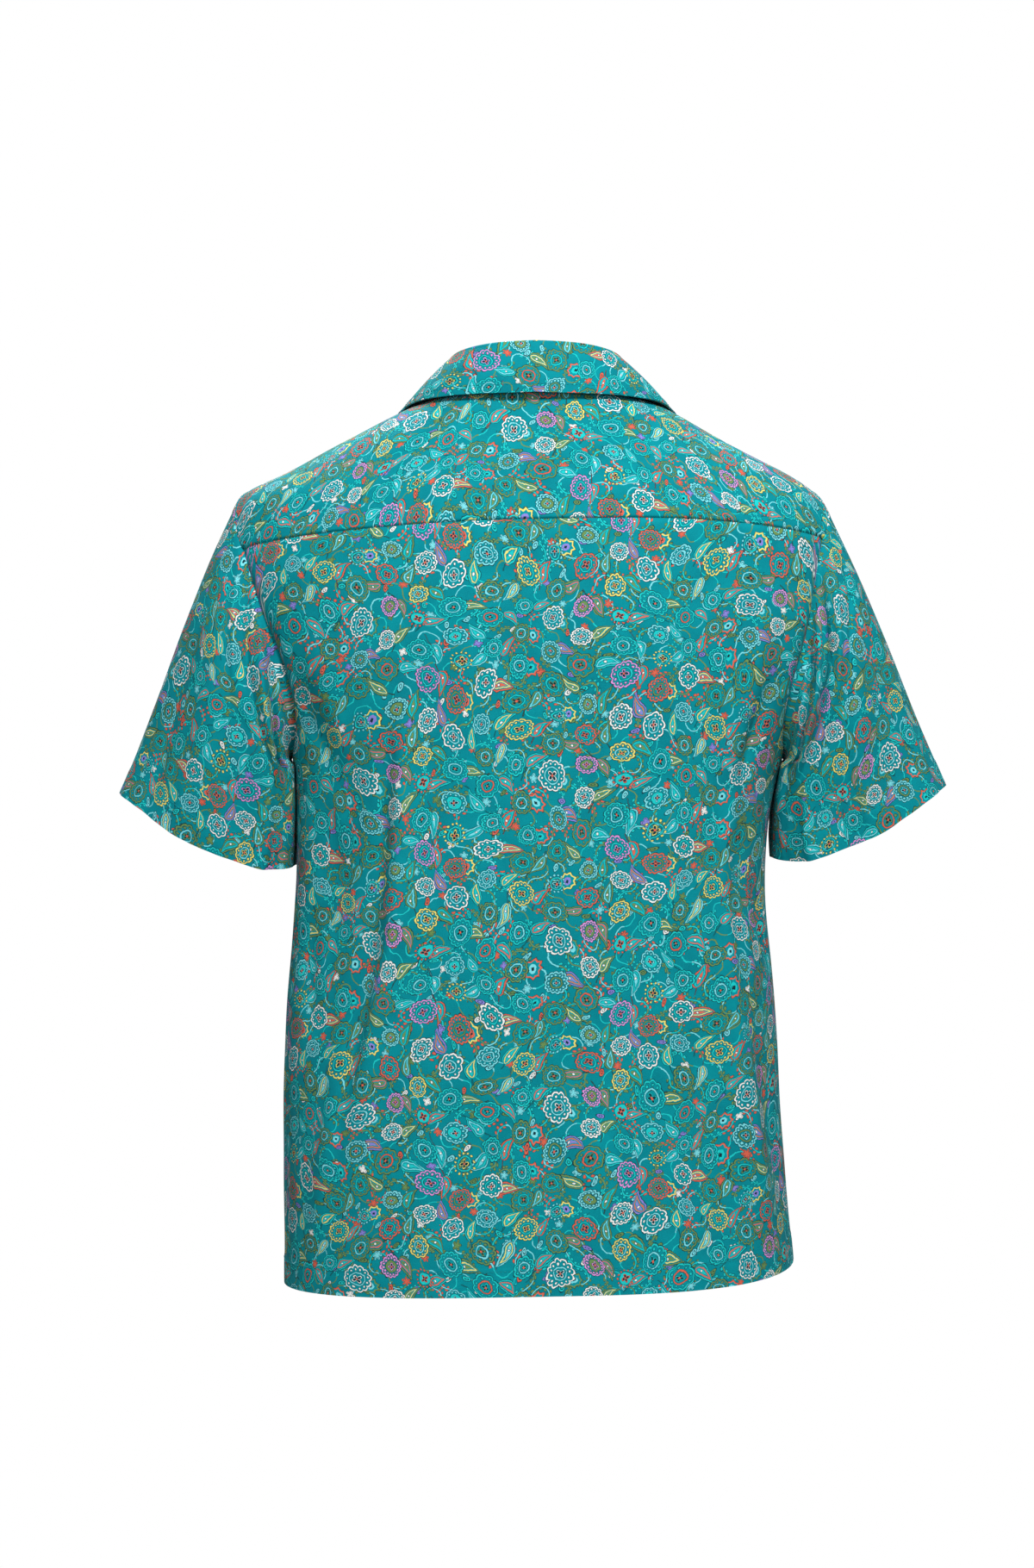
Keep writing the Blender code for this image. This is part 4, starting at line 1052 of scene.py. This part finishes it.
def lapel_points_of(side):
    """The lapel's cloth: a half circle round the roll line, then the turned-back face.

    Its height off the front falls from the roll's width to one layer, and rises at the edge.
    """
    roll_low, edge_low = LAPEL_START[side]
    share = (edge_low - BREAK_HEIGHT) / (LAPEL_POINT[1] - BREAK_HEIGHT)
    edge_start = (-LAP + share * (LAPEL_POINT[0] + LAP), edge_low)
    top_height = GORGE[1] - 2 * LAPEL_CLEAR
    roll_start, gorge = ((roll_out(height), height) for height in (roll_low, top_height))
    half = LAPEL_CELLS // 2
    notch = (NOTCH[0], NOTCH[1] - LAPEL_CLEAR)
    edges = (
        in_front(side, [roll_start, edge_start], [LAPEL_CELLS]),
        in_front(side, [gorge, notch, LAPEL_POINT], [half, LAPEL_CELLS - half]),
        in_front(side, [roll_start, gorge], [LAPEL_ROWS]),
        in_front(side, [edge_start, LAPEL_POINT], [LAPEL_ROWS]),
    )
    u, v = (shares(*size, fine_start=False) for size in zip(LAPEL_SIZE, LAPEL_STEPS))
    grid = patch(edges, u, v)
    normal = form_normal(grid)
    base = skin(grid) + normal * lap_step(side, grid)[..., None]
    softness = ROLL_SOFT * (1 - v[:, None]) ** 1.5
    height = (LAPEL_LIFT + softness * hump(u, 0.35) + LAPEL_SPRING * u**3)[..., None]
    across = unit(base[:, 1] - base[:, 0])
    radius = height[:, :1] / 2
    centre = base[:, :1] + normal[:, :1] * radius
    turn = np.radians(np.arange(-80, 81, 20))[None, :, None]
    roll = centre - across[:, None] * radius * np.cos(turn) + normal[:, :1] * radius * np.sin(turn)
    return np.concatenate([roll, base + normal * height], axis=1)


for side, word in SIDES:
    points = lapel_points_of(side)
    cut = flat_cut(points, (side * LAPEL_CUT[0], LAPEL_CUT[1]))
    piece = add_panel(f"lapel_{word}", points, cut, LAPEL_THICKNESS)
    normals = outward_normals(points)[0]
    face = points + normals * (LAPEL_THICKNESS - CLOTH) / 2
    rows = [
        part_of(*line_in(face, normals, LAPEL_STITCH, axis, from_end=True), start, LAPEL_STITCH)
        for axis, start in ((1, 0), (0, ROLL_WAY))
    ]
    under = [f"front_{word}_cloth"]
    add_sheet(piece, rows, under, flat=(0.10, 0.155), held="folded", area=0.0082)

# ---- Collar ----
# One strip folded over along its roll: a low stand rises from the neck seam and the fall comes
# down outside, over the yoke and fronts, to a point at each lapel. Faced, and stitched at its edge.

# Columns: along, roll out, roll depth, roll height, degrees, edge height, off.
COLLAR = np.array([
    (0.00, 0, 57.5, 32, 90, -10, 5.8),
    (0.24, 35, 49, 30.5, 62, -12, 5.2),
    (0.45, 57, 29, 27, 30, -14.5, 4.0),
    (0.62, 65, 1, 21, 0, -17.5, 2.7),
    (0.76, 61.5, -19, 6, -30, -27, 2.7),
    (0.88, 54, -33, -14, -52, -48, 2.7),
    (1.00, 45.5, -46, -41.5, -63.4, -72, 2.7),
])
ROLL_RADIUS, ROLL_TIGHTENING, LAYER_STEP = 2.2, 8, 2.7
FALL_CLEAR = LAYER_STEP * 0.72  # least distance from the body's cloth to the fall's
COLLAR_BULGE, NOTCH_REACH, COLLAR_THICKNESS = 2.5, 0.12, 1.2
COLLAR_STITCH = 6.5
COLLAR_SIZE, COLLAR_STEPS, COLLAR_CUT = (420, 46), (2.6, 2.2), (24, 905)
STAND_STEPS = 12
FACING_ROWS = 8  # rows of the stand that tell which way its cloth faces


def off_body(points):
    """Each point's distance out from the body's cloth, and the direction of that."""
    left, right, back, front, _ = section(points[..., 2])
    across = points[..., 0] / np.where(points[..., 0] > 0, left, right)
    along = points[..., 1] / np.where(points[..., 1] > 0, back, front)
    seat = pairs(np.arctan2(along, across), points[..., 2])
    normal = form_normal(seat)
    return ((points - skin(seat)) * normal).sum(-1), normal


def collar_shape():
    """The strip's cloth from the neck seam up to the roll, round it and down to the edge."""
    neck = np.concatenate([front_neck(LEFT)[::-1], yoke_neck()[1:], front_neck(RIGHT)[1:]])
    foot = skin(at_share(neck, shares(COLLAR_SIZE[0], COLLAR_STEPS[0])))
    way = lengths(foot)
    along = np.abs(way / way[-1] * 2 - 1)
    side = np.where(way < way[-1] / 2, LEFT, RIGHT)
    station = spline(COLLAR[:, 0], COLLAR[:, 1:], along)
    roll = station[:, :3] * np.stack([side, 0 * side + 1, 0 * side + 1], axis=-1)
    local, edge_height, off = np.radians(station[:, 3]), station[:, 4], station[:, 5:]
    seat = pairs(np.where(side == LEFT, local, math.pi - local), edge_height)
    edge = skin(seat) + form_normal(seat) * off
    upward = unit(roll - foot)
    sideways = unit((edge - roll) - upward * ((edge - roll) * upward).sum(-1, keepdims=True))
    radius = np.minimum(ROLL_RADIUS, LAYER_STEP / 2 + (1 - along)[:, None] * ROLL_TIGHTENING)
    centre = roll - upward * radius
    stand = centre - sideways * radius - foot
    rows = [foot + stand * share for share in np.linspace(0, 1, STAND_STEPS)]
    for turn in np.radians(np.arange(20, 180, 20)):
        rows.append(centre + radius * (upward * math.sin(turn) - sideways * math.cos(turn)))
    stand_rows = len(rows)
    fall_top = centre + sideways * radius
    end = form((math.radians(COLLAR[-1, 4]), COLLAR[-1, 5]))
    out, up = NOTCH - (GORGE + end[[0, 2]]) / 2
    for share in shares(COLLAR_SIZE[1], COLLAR_STEPS[1]):
        swell = COLLAR_BULGE * 4 * share * (1 - share) * (1 - along**3)
        bend = (1 - abs(2 * share - 1)) * np.clip((along - 1) / NOTCH_REACH + 1, 0, 1) ** 2
        notch = np.stack([side * out * bend, 0 * bend, up * bend], axis=-1)
        rows.append((1 - share) * fall_top + share * edge + sideways * swell[:, None] + notch)
    points = np.stack(rows)
    fall = points[stand_rows:]
    distance, normal = off_body(fall)
    lift = np.where(fall[..., 2] < 0, np.maximum(0, FALL_CLEAR - distance), 0)
    points[stand_rows:] += normal * lift[..., None]
    return points, stand_rows


collar_points, stand_rows = collar_shape()
if outward_normals(collar_points, rows=slice(FACING_ROWS))[1] > 0:
    collar_points = collar_points[:, ::-1]
collar_cut = flat_cut(collar_points, COLLAR_CUT, centred=True)
collar = add_cloth("collar", collar_points, collar_cut, thickness=COLLAR_THICKNESS)
fall = collar_points[stand_rows:]
normals = outward_normals(fall)[0]
fall = fall + normals * (COLLAR_THICKNESS - CLOTH) / 2
rows = [line_in(fall, normals, COLLAR_STITCH, from_end=True)]
for from_end in (False, True):
    edge = line_in(fall, normals, COLLAR_STITCH, axis=1, from_end=from_end)
    rows.append(part_of(*edge, 0, COLLAR_STITCH))
under = ["yoke_cloth", "front_left_cloth", "front_right_cloth"]
add_sheet(collar, rows, under, flat=(0.47, 0.10), held="folded", area=0.031)

# ---- Sleeves ----
# Short, set in, cut straight and wide. Each hangs from the shoulder past the arm's place, with a
# deep crease from the back of the armhole to the underarm, and its foot is turned and stitched.

# Columns: distance out and height of the outer tip, then of the inner corner.
SLEEVE_HEM = {LEFT: (324, -313, 190.5, -369), RIGHT: (319, -307, 187, -363)}
SLEEVE_HALF_DEPTH, SLEEVE_FORWARD, SLEEVE_BACK_DROP = 57, 10, 14
SLEEVE_SQUARENESS, SLEEVE_CLEAR = 3.4, 1.1
PRESSED, PRESS_START, PRESS_END, HEM_PRESS = (3, 24), 9, 0.5, 0.55
# Which way the cloth leaves the armhole and comes to the hem: at the top, back, foot and front.
# Columns: out, back and up at the armhole, then the same at the hem.
SLEEVE_RAYS = np.array([
    (0.46, 0.0, -0.89, 0.40, 0.0, -0.92),
    (0.40, 0.30, -0.86, 0.33, -0.12, -0.93),
    (0.22, 0.0, -0.28, 0.08, 0.0, -1.00),
    (0.40, -0.35, -0.84, 0.33, -0.12, -0.93),
])
# Columns: degrees round it at top and foot, start, end, width in degrees, rise.
SLEEVE_FOLDS = [
    (128, 118, 0.02, 0.62, 11, 4.0),
    (66, 84, 0.10, 1.05, 12, 3.0),
    (-70, -84, 0.10, 1.05, 13, 3.0),
    (-128, -112, 0.05, 0.70, 12, 3.0),
    (-100, -104, 0.45, 1.20, 7, -2.6),
]
OWN_SLEEVE_FOLDS = {
    LEFT: [
        (100, 146, -0.12, 0.60, 5, -8.0),
        (84, 134, -0.10, 0.56, 5, 6.0),
        (68, 120, -0.06, 0.50, 4.5, -5.0),
        (54, 100, -0.02, 0.44, 5, 3.0),
        (40, 50, 0.25, 1.15, 6, -3.0),
        (22, 26, 0.45, 1.20, 8, 2.4),
        (98, 104, 0.40, 1.20, 7, -3.0),
        (124, 120, 0.50, 1.20, 6, 2.6),
        (70, 72, 0.55, 1.20, 6, 2.0),
        (-40, -52, 0.20, 1.15, 7, -3.0),
        (-98, -144, -0.10, 0.60, 6, -7.0),
        (-82, -130, -0.08, 0.54, 6, 5.0),
        (-66, -114, -0.02, 0.48, 5, -3.6),
    ],
    RIGHT: [
        (98, 150, -0.12, 0.66, 5, -8.0),
        (82, 138, -0.10, 0.62, 5, 5.6),
        (64, 126, -0.06, 0.58, 4.5, -6.0),
        (48, 108, -0.02, 0.52, 5, 3.6),
        (32, 92, 0.04, 0.50, 5, -3.0),
        (30, 40, 0.30, 1.20, 7, 2.6),
        (92, 98, 0.45, 1.20, 7, -3.0),
        (120, 116, 0.55, 1.20, 6, 2.6),
        (64, 66, 0.55, 1.20, 7, -2.2),
        (-44, -56, 0.25, 1.15, 7, -3.0),
        (-98, -144, -0.10, 0.62, 6, -7.0),
        (-82, -128, -0.08, 0.54, 6, 5.0),
        (-64, -112, -0.02, 0.48, 5, -3.6),
    ],
}
SLEEVE_COLUMNS, SLEEVE_LENGTH, SLEEVE_HEM_DEPTH, SLEEVE_CUT = 256, 290, 22, (60, 30)
FOLD_START, SLEEVE_FREE = 0.05, 30  # where folds reach their rise, and the sleeve moves on its own


def sleeve_hem(side, degrees):
    """The hem's oval, squarer in its inner half, from the outer tip to the inner corner."""
    tip_out, tip_height, inner_out, inner_height = SLEEVE_HEM[side]
    half_out, half_height = (tip_out - inner_out) / 2, (tip_height - inner_height) / 2
    across, along = np.cos(np.radians(degrees)), np.sin(np.radians(degrees))
    power = 2 / np.where(across < 0, SLEEVE_SQUARENESS, 2)
    across, along = (np.sign(part) * np.abs(part) ** power for part in (across, along))
    out = tip_out - half_out + half_out * across
    back = -SLEEVE_FORWARD + SLEEVE_HALF_DEPTH * along
    up = tip_height - half_height + half_height * across - SLEEVE_BACK_DROP * along**3
    return np.stack([side * out, back, up], axis=-1)


def sleeve_fold_lift(side, points, degrees, t):
    """Folds along a sleeve, as moves away from the middle of each ring."""
    lift = np.zeros(points.shape[:2])
    for top, foot, start, end, width, rise in SLEEVE_FOLDS + OWN_SLEEVE_FOLDS[side]:
        share = np.clip((t - start) / (end - start), 0, 1)
        away = (degrees - top - (foot - top) * share + 180) % 360 - 180
        lift += rise * np.sin(math.pi * share) ** 0.8 * hump(away, width)
    lift *= ramp(t, 0, FOLD_START)
    return unit(points - points.mean(axis=1, keepdims=True)) * lift[..., None]


def pressed_to_body(points, t):
    """Lays the sleeve's inner side along the body's: distance, past clear, shrinks to a share."""
    distance, normal = off_body(points)
    press = 1 - (1 - HEM_PRESS) * ramp(t, PRESS_END, 1)
    share = 1 - press * (1 - ramp(distance, *PRESSED))
    wanted = SLEEVE_CLEAR + np.maximum(distance - SLEEVE_CLEAR, 0) * share
    below = ramp(UNDERARM - points[..., 2], 0, PRESS_START)
    return points + normal * (below * (wanted - distance))[..., None]


def sleeve_shape(side):
    """A tube from the armhole seam to the hem's oval: a cubic along each line of the cloth."""
    loop = np.concatenate([run[:-1] for run in holes[side]] + [holes[side][0][:1]])
    loop[:, 0] = np.unwrap(loop[:, 0])
    place = np.linspace(0, 1, SLEEVE_COLUMNS + 1)[:-1]
    loop = at_share(loop, place)
    top = (ARMHOLE_ROWS + OVER_CELLS // 2) / (2 * ARMHOLE_ROWS + OVER_CELLS)
    degrees = np.interp(place, [0, top, 1], [180, 0, -180])
    three_turns = np.concatenate([SLEEVE_RAYS] * 3 + [SLEEVE_RAYS[:1]])
    rays = spline(np.arange(-360, 721, 90), three_turns, degrees % 360)
    start, end = skin(loop), sleeve_hem(side, degrees)
    reach = np.linalg.norm(end - start, axis=1)[:, None] * (side, 1, 1)
    leaving, arriving = rays[:, :3] * reach, rays[:, 3:] * reach
    stitch_lines = 1 - (SLEEVE_HEM_DEPTH + STITCH_BAND) / SLEEVE_LENGTH
    t = np.union1d(shares(SLEEVE_LENGTH), stitch_lines)[:, None, None]
    away = (2 * t**3 - 3 * t**2 + 1) * start + (t**3 - 2 * t**2 + t) * leaving
    points = away + (3 * t**2 - 2 * t**3) * end + (t**3 - t**2) * arriving
    points = points + sleeve_fold_lift(side, points, degrees, t[..., 0])
    points[1:] = pressed_to_body(points[1:], t[1:, :, 0])
    return points, form_normal(loop)


for side, word in SIDES:
    points, seat_normals = sleeve_shape(side)
    if outward_normals(points, tube=True)[1] < 0:
        points = np.roll(points[:, ::-1], 1, axis=1)
        seat_normals = np.roll(seat_normals[::-1], 1, axis=0)
    up = lengths(points)
    from_foot = up[-1:] - up
    around = lengths(np.concatenate([points, points[:, :1]], axis=1), axis=1)
    # Beside the armhole the cloth moves with the body's, so that the two meet in the seam.
    free = ramp(up, 0, SLEEVE_FREE)
    with_body = seam_relief(up, "lying") + armhole_pull(up, points[..., 2], SLEEVE_REACH)
    with_body = with_body + drape(points[:1]) * (1 - free)
    own = hem_relief(from_foot, around[:, :-1], SLEEVE_HEM_DEPTH) + drape(points) * 0.8 * free
    moved = grid_normals(points, tube=True) * own[..., None]
    points = points + moved + seat_normals * with_body[..., None]
    from_middle = around - around[:, SLEEVE_COLUMNS // 2][:, None]
    foot_way = np.concatenate([from_foot, from_foot[:, :1]], axis=1)
    cut = pairs(from_middle, foot_way) + np.multiply(SLEEVE_CUT, side)
    piece = add_cloth(f"sleeve_{word}", points, cut, tube=True)
    normals = outward_normals(points, tube=True)[0]
    line = line_in(points, normals, SLEEVE_HEM_DEPTH - 1, from_end=True)
    closed_line = [np.concatenate([part, part[:1]]) for part in line]
    under = ["yoke_cloth", "back_cloth", f"front_{word}_cloth"]
    add_sheet(piece, [closed_line], under, flat=(0.47, 0.29), held="hung", area=0.068)

# ---- Buttons ----
# Five turned discs of pale horn brown with a raised rim and four holes, sewn on with turquoise
# thread, each in a worked buttonhole of the left front.

BUTTON_HEIGHTS = (-222, -314, -406, -498, -590)
BUTTON_SEAT = 1.9  # from the middle of the front's cloth to the middle of the button
BUTTON_TILT = 11  # degrees by which each is sewn on turned from the last
# Half of a button's outline, from the middle of the face to its hollow, then round to the back.
# Columns: radius, height.
BUTTON_FACE = np.array([(0, 0.42), (1.8, 0.43), (3.0, 0.48), (3.6, 0.58)])
BUTTON_RIM = np.array(
    [(4.0, 0.86), (4.4, 1.04), (4.9, 1.12), (5.4, 1.04), (5.75, 0.80), (5.95, 0.40)]
    + [(6.0, -0.1), (5.85, -0.55), (5.4, -0.9), (4.6, -1.08), (2.0, -1.1)]
)
HOLE_OUT, HOLE_RADIUS, HOLE_DEPTH = 1.25, 0.72, 1.1
HOLE_EDGE = (HOLE_RADIUS - 0.12, HOLE_RADIUS + 0.06)
BUTTON_SIDES, FACE_RINGS, FACE_START = 72, 30, 0.15  # the last is the innermost ring's radius
BAR_THREADS, BAR_HALF, BAR_HEIGHT = 4, 0.33, 0.42  # the threads from hole to hole
SLIT_HALF, SATIN_PITCH = 7.6, 0.5  # half a buttonhole's length, and the step of its stitches
SATIN_IN, SATIN_OUT = 0.25, 1.5  # from the slit to both ends of a stitch
BAR_THREAD, SATIN_THREAD = (0.17, 1.6), (0.24, 0.5)  # radius and arch of a thread


def horn():
    """Pressed horn plastic: pale brown with darker drifting streaks, polished."""
    material = begin_material("horn_button")
    x, _, z = split(source("TexCoord", "Object"))
    along, across = joined(x * 130, z * 420), joined(z * 90, x * 700)
    streak = calc("MULTIPLY_ADD", noise(along, 1.0, 4.0), 2.6, -0.8, clamp=True)
    fine = calc("MULTIPLY_ADD", noise(across, 1.0, 3.0), 3.0, -1.5, clamp=True)
    colour = paint((0.55, 0.40, 0.25), (0.20, 0.105, 0.05), streak)
    colour = paint(colour, (0.72, 0.60, 0.44), fine * 0.5)
    surface = {"Base Color": colour, "Roughness": noise(along, 3.0, 2.0) * 0.16 + 0.22}
    surface |= {"Coat Weight": 0.25, "Coat Roughness": 0.12}
    set_surface(surface, noise(across, 2.0, 2.0), 0.15, 0.00008)
    return material


def button_shape():
    """The outline turned about its axis, sunk at four holes by a ramp of the distance to each."""
    face = np.linspace(FACE_START, BUTTON_FACE[2, 0], FACE_RINGS)
    face = pairs(face, np.interp(face, *BUTTON_FACE.T))
    radius, height = np.concatenate([face, BUTTON_FACE[3:], BUTTON_RIM]).T[..., None]
    angle = np.arange(BUTTON_SIDES) * TURN / BUTTON_SIDES
    x, y = radius * np.cos(angle), radius * np.sin(angle)
    sunk = 1 - ramp(np.hypot(np.abs(x) - HOLE_OUT, np.abs(y) - HOLE_OUT), *HOLE_EDGE)
    sunk[FACE_RINGS:] = 0
    points = np.stack([x, y, height - HOLE_DEPTH * sunk], -1)
    index = np.arange(sunk.size).reshape(sunk.shape)
    ends = [index[0].tolist(), index[-1, ::-1].tolist()]
    return points.reshape(-1, 3), [*ring_quads(index).tolist(), *ends]


horn_plastic = horn()
button_local, button_faces = button_shape()
flat = front_points[LEFT].reshape(-1, 3)
satin = []
for number, height in enumerate(BUTTON_HEIGHTS, start=1):
    middle = (-math.pi / 2, height)
    normal = form_normal(middle)
    sideways = unit(np.cross((0, 0, 1), normal))
    seat = skin(middle) + normal * BUTTON_SEAT
    tilt = np.radians(BUTTON_TILT * number)
    turned = [(np.cos(tilt), np.sin(tilt), 0), (-np.sin(tilt), np.cos(tilt), 0), (0, 0, 1)]
    axes = turned @ np.stack([sideways, np.cross(normal, sideways), normal])
    node = f"button_{number}"
    add_mesh(node + "_disc", seat + button_local @ axes, button_faces, horn_plastic, node)
    # Two bars of four threads each hold it, over its face from hole to hole.
    bars = np.add.outer((-HOLE_OUT, HOLE_OUT), np.linspace(-BAR_HALF, BAR_HALF, BAR_THREADS))
    starts, ends = (
        seat + [(end, step, BAR_HEIGHT) for step in bars.flat] @ axes
        for end in (-HOLE_OUT, HOLE_OUT)
    )
    points, faces = threads(starts, ends, np.repeat(axes[2:], bars.size, axis=0), *BAR_THREAD)
    add_mesh(node + "_thread", points, faces, thread)
    # The worked edge of its buttonhole, whose ends show above and below it.
    step = np.arange(-SLIT_HALF, SLIT_HALF + SATIN_PITCH / 2, SATIN_PITCH)
    for side in (-1, 1):
        row = []
        for away in (SATIN_IN, SATIN_OUT):
            spot = pairs(side * away, height + step)
            near = np.linalg.norm(flat[:, [0, 2]] - spot[:, None], axis=-1) + 1e3 * (flat[:, 1] > 0)
            depth = flat[near.argmin(-1), 1]
            row.append(np.stack([spot[:, 0], depth, spot[:, 1]], -1) + normal * (CLOTH / 2 + 0.1))
        satin.append([*row, np.repeat(normal[None], len(step), axis=0)])
points, faces = threads(*map(np.concatenate, zip(*satin)), *SATIN_THREAD)
add_mesh("buttonhole_stitches", points, faces, thread)

# ---- Floor, light and camera ----
# A plain pale floor that fades out, soft studio light from all round, and the photograph's view.

FLOOR_HEIGHT, FLOOR_RADIUS = -1.5, 1.3  # the collar's seam is 1.5 m above the floor, as when worn
FLOOR_RINGS, FLOOR_SIDES = 6, 64
FADE = FLOOR_RADIUS - 0.35  # width of the rim over which the floor fades out
AMBIENT = 0.24  # the backdrop's light on the shirt, against 1 as the camera sees it
SHIRT_MIDDLE = (0, 0, -0.33)  # where the lamps aim
LAMPS = {"key": ((0.6, -2.1, 2.4), 0.8, 128), "fill": ((-0.7, -3.2, 0.2), 1.6, 26)}
CAMERA_PLACE, CAMERA_FIELD = (0.0147, 3.0, -0.306), 1.219


def add_object(name, data):
    """An object of the data, in the scene."""
    thing = bpy.data.objects.new(name, data)
    scene.collection.objects.link(thing)
    return thing


scene = bpy.context.scene
scene.view_settings.view_transform = "Standard"

# A disc of rings at even steps, round a point in the middle.
radius = np.arange(1, FLOOR_RINGS + 1)[:, None] * FLOOR_RADIUS / FLOOR_RINGS
angle = np.arange(FLOOR_SIDES) * TURN / FLOOR_SIDES
x, y = (radius * np.cos(angle)).ravel(), (radius * np.sin(angle)).ravel()
points = [(0, 0, FLOOR_HEIGHT), *np.stack([x, y, 0 * x + FLOOR_HEIGHT], -1).tolist()]
index = np.arange(x.size).reshape(FLOOR_RINGS, FLOOR_SIDES) + 1
hub = np.stack([0 * index[0], index[0], np.roll(index[0], -1)], -1)
floor_mesh = bpy.data.meshes.new("floor")
floor_mesh.from_pydata(points, [], [*hub.tolist(), *ring_quads(index).tolist()])
floor_mesh.materials.append(begin_material("pale_floor"))
x, y, _ = split(source("TexCoord", "Object"))
solid = calc("MULTIPLY_ADD", span(x, y), -1 / FADE, FLOOR_RADIUS / FADE, clamp=True)
set_surface({"Base Color": (0.86, 0.86, 0.85), "Roughness": 0.9, "Alpha": solid * solid})
add_object("floor", floor_mesh)

# The backdrop is white to the camera, and lights the shirt more softly than the lamps do.
scene.world = bpy.data.worlds.new("studio")
scene.world.use_nodes = True
Wire.tree = scene.world.node_tree
backdrop = Wire.tree.nodes["Background"]
plug((1, 1, 1), backdrop.inputs["Color"])
seen = source("LightPath", "Is Camera Ray")
plug(seen * (1 - AMBIENT) + AMBIENT, backdrop.inputs["Strength"])

# The same two lamps in front and behind.
for where, turn in (("behind", -1), ("in_front", 1)):
    for name, ((x, y, z), size, watts) in LAMPS.items():
        light = bpy.data.lights.new(f"{name}_{where}", "AREA")
        light.shape, light.size, light.energy = "DISK", size, watts
        lamp = add_object(light.name, light)
        lamp.location = (turn * x, turn * y, z)
        across, along, up = np.array(lamp.location) - SHIRT_MIDDLE
        tilt = math.atan2(math.hypot(across, along), up)
        lamp.rotation_euler = (tilt, 0, math.atan2(across, -along))

camera = add_object("camera", bpy.data.cameras.new("camera"))
camera.location = CAMERA_PLACE
camera.rotation_euler = (math.pi / 2, 0, math.pi)
camera.data.lens = camera.data.sensor_width * CAMERA_PLACE[1] / CAMERA_FIELD
scene.camera = camera
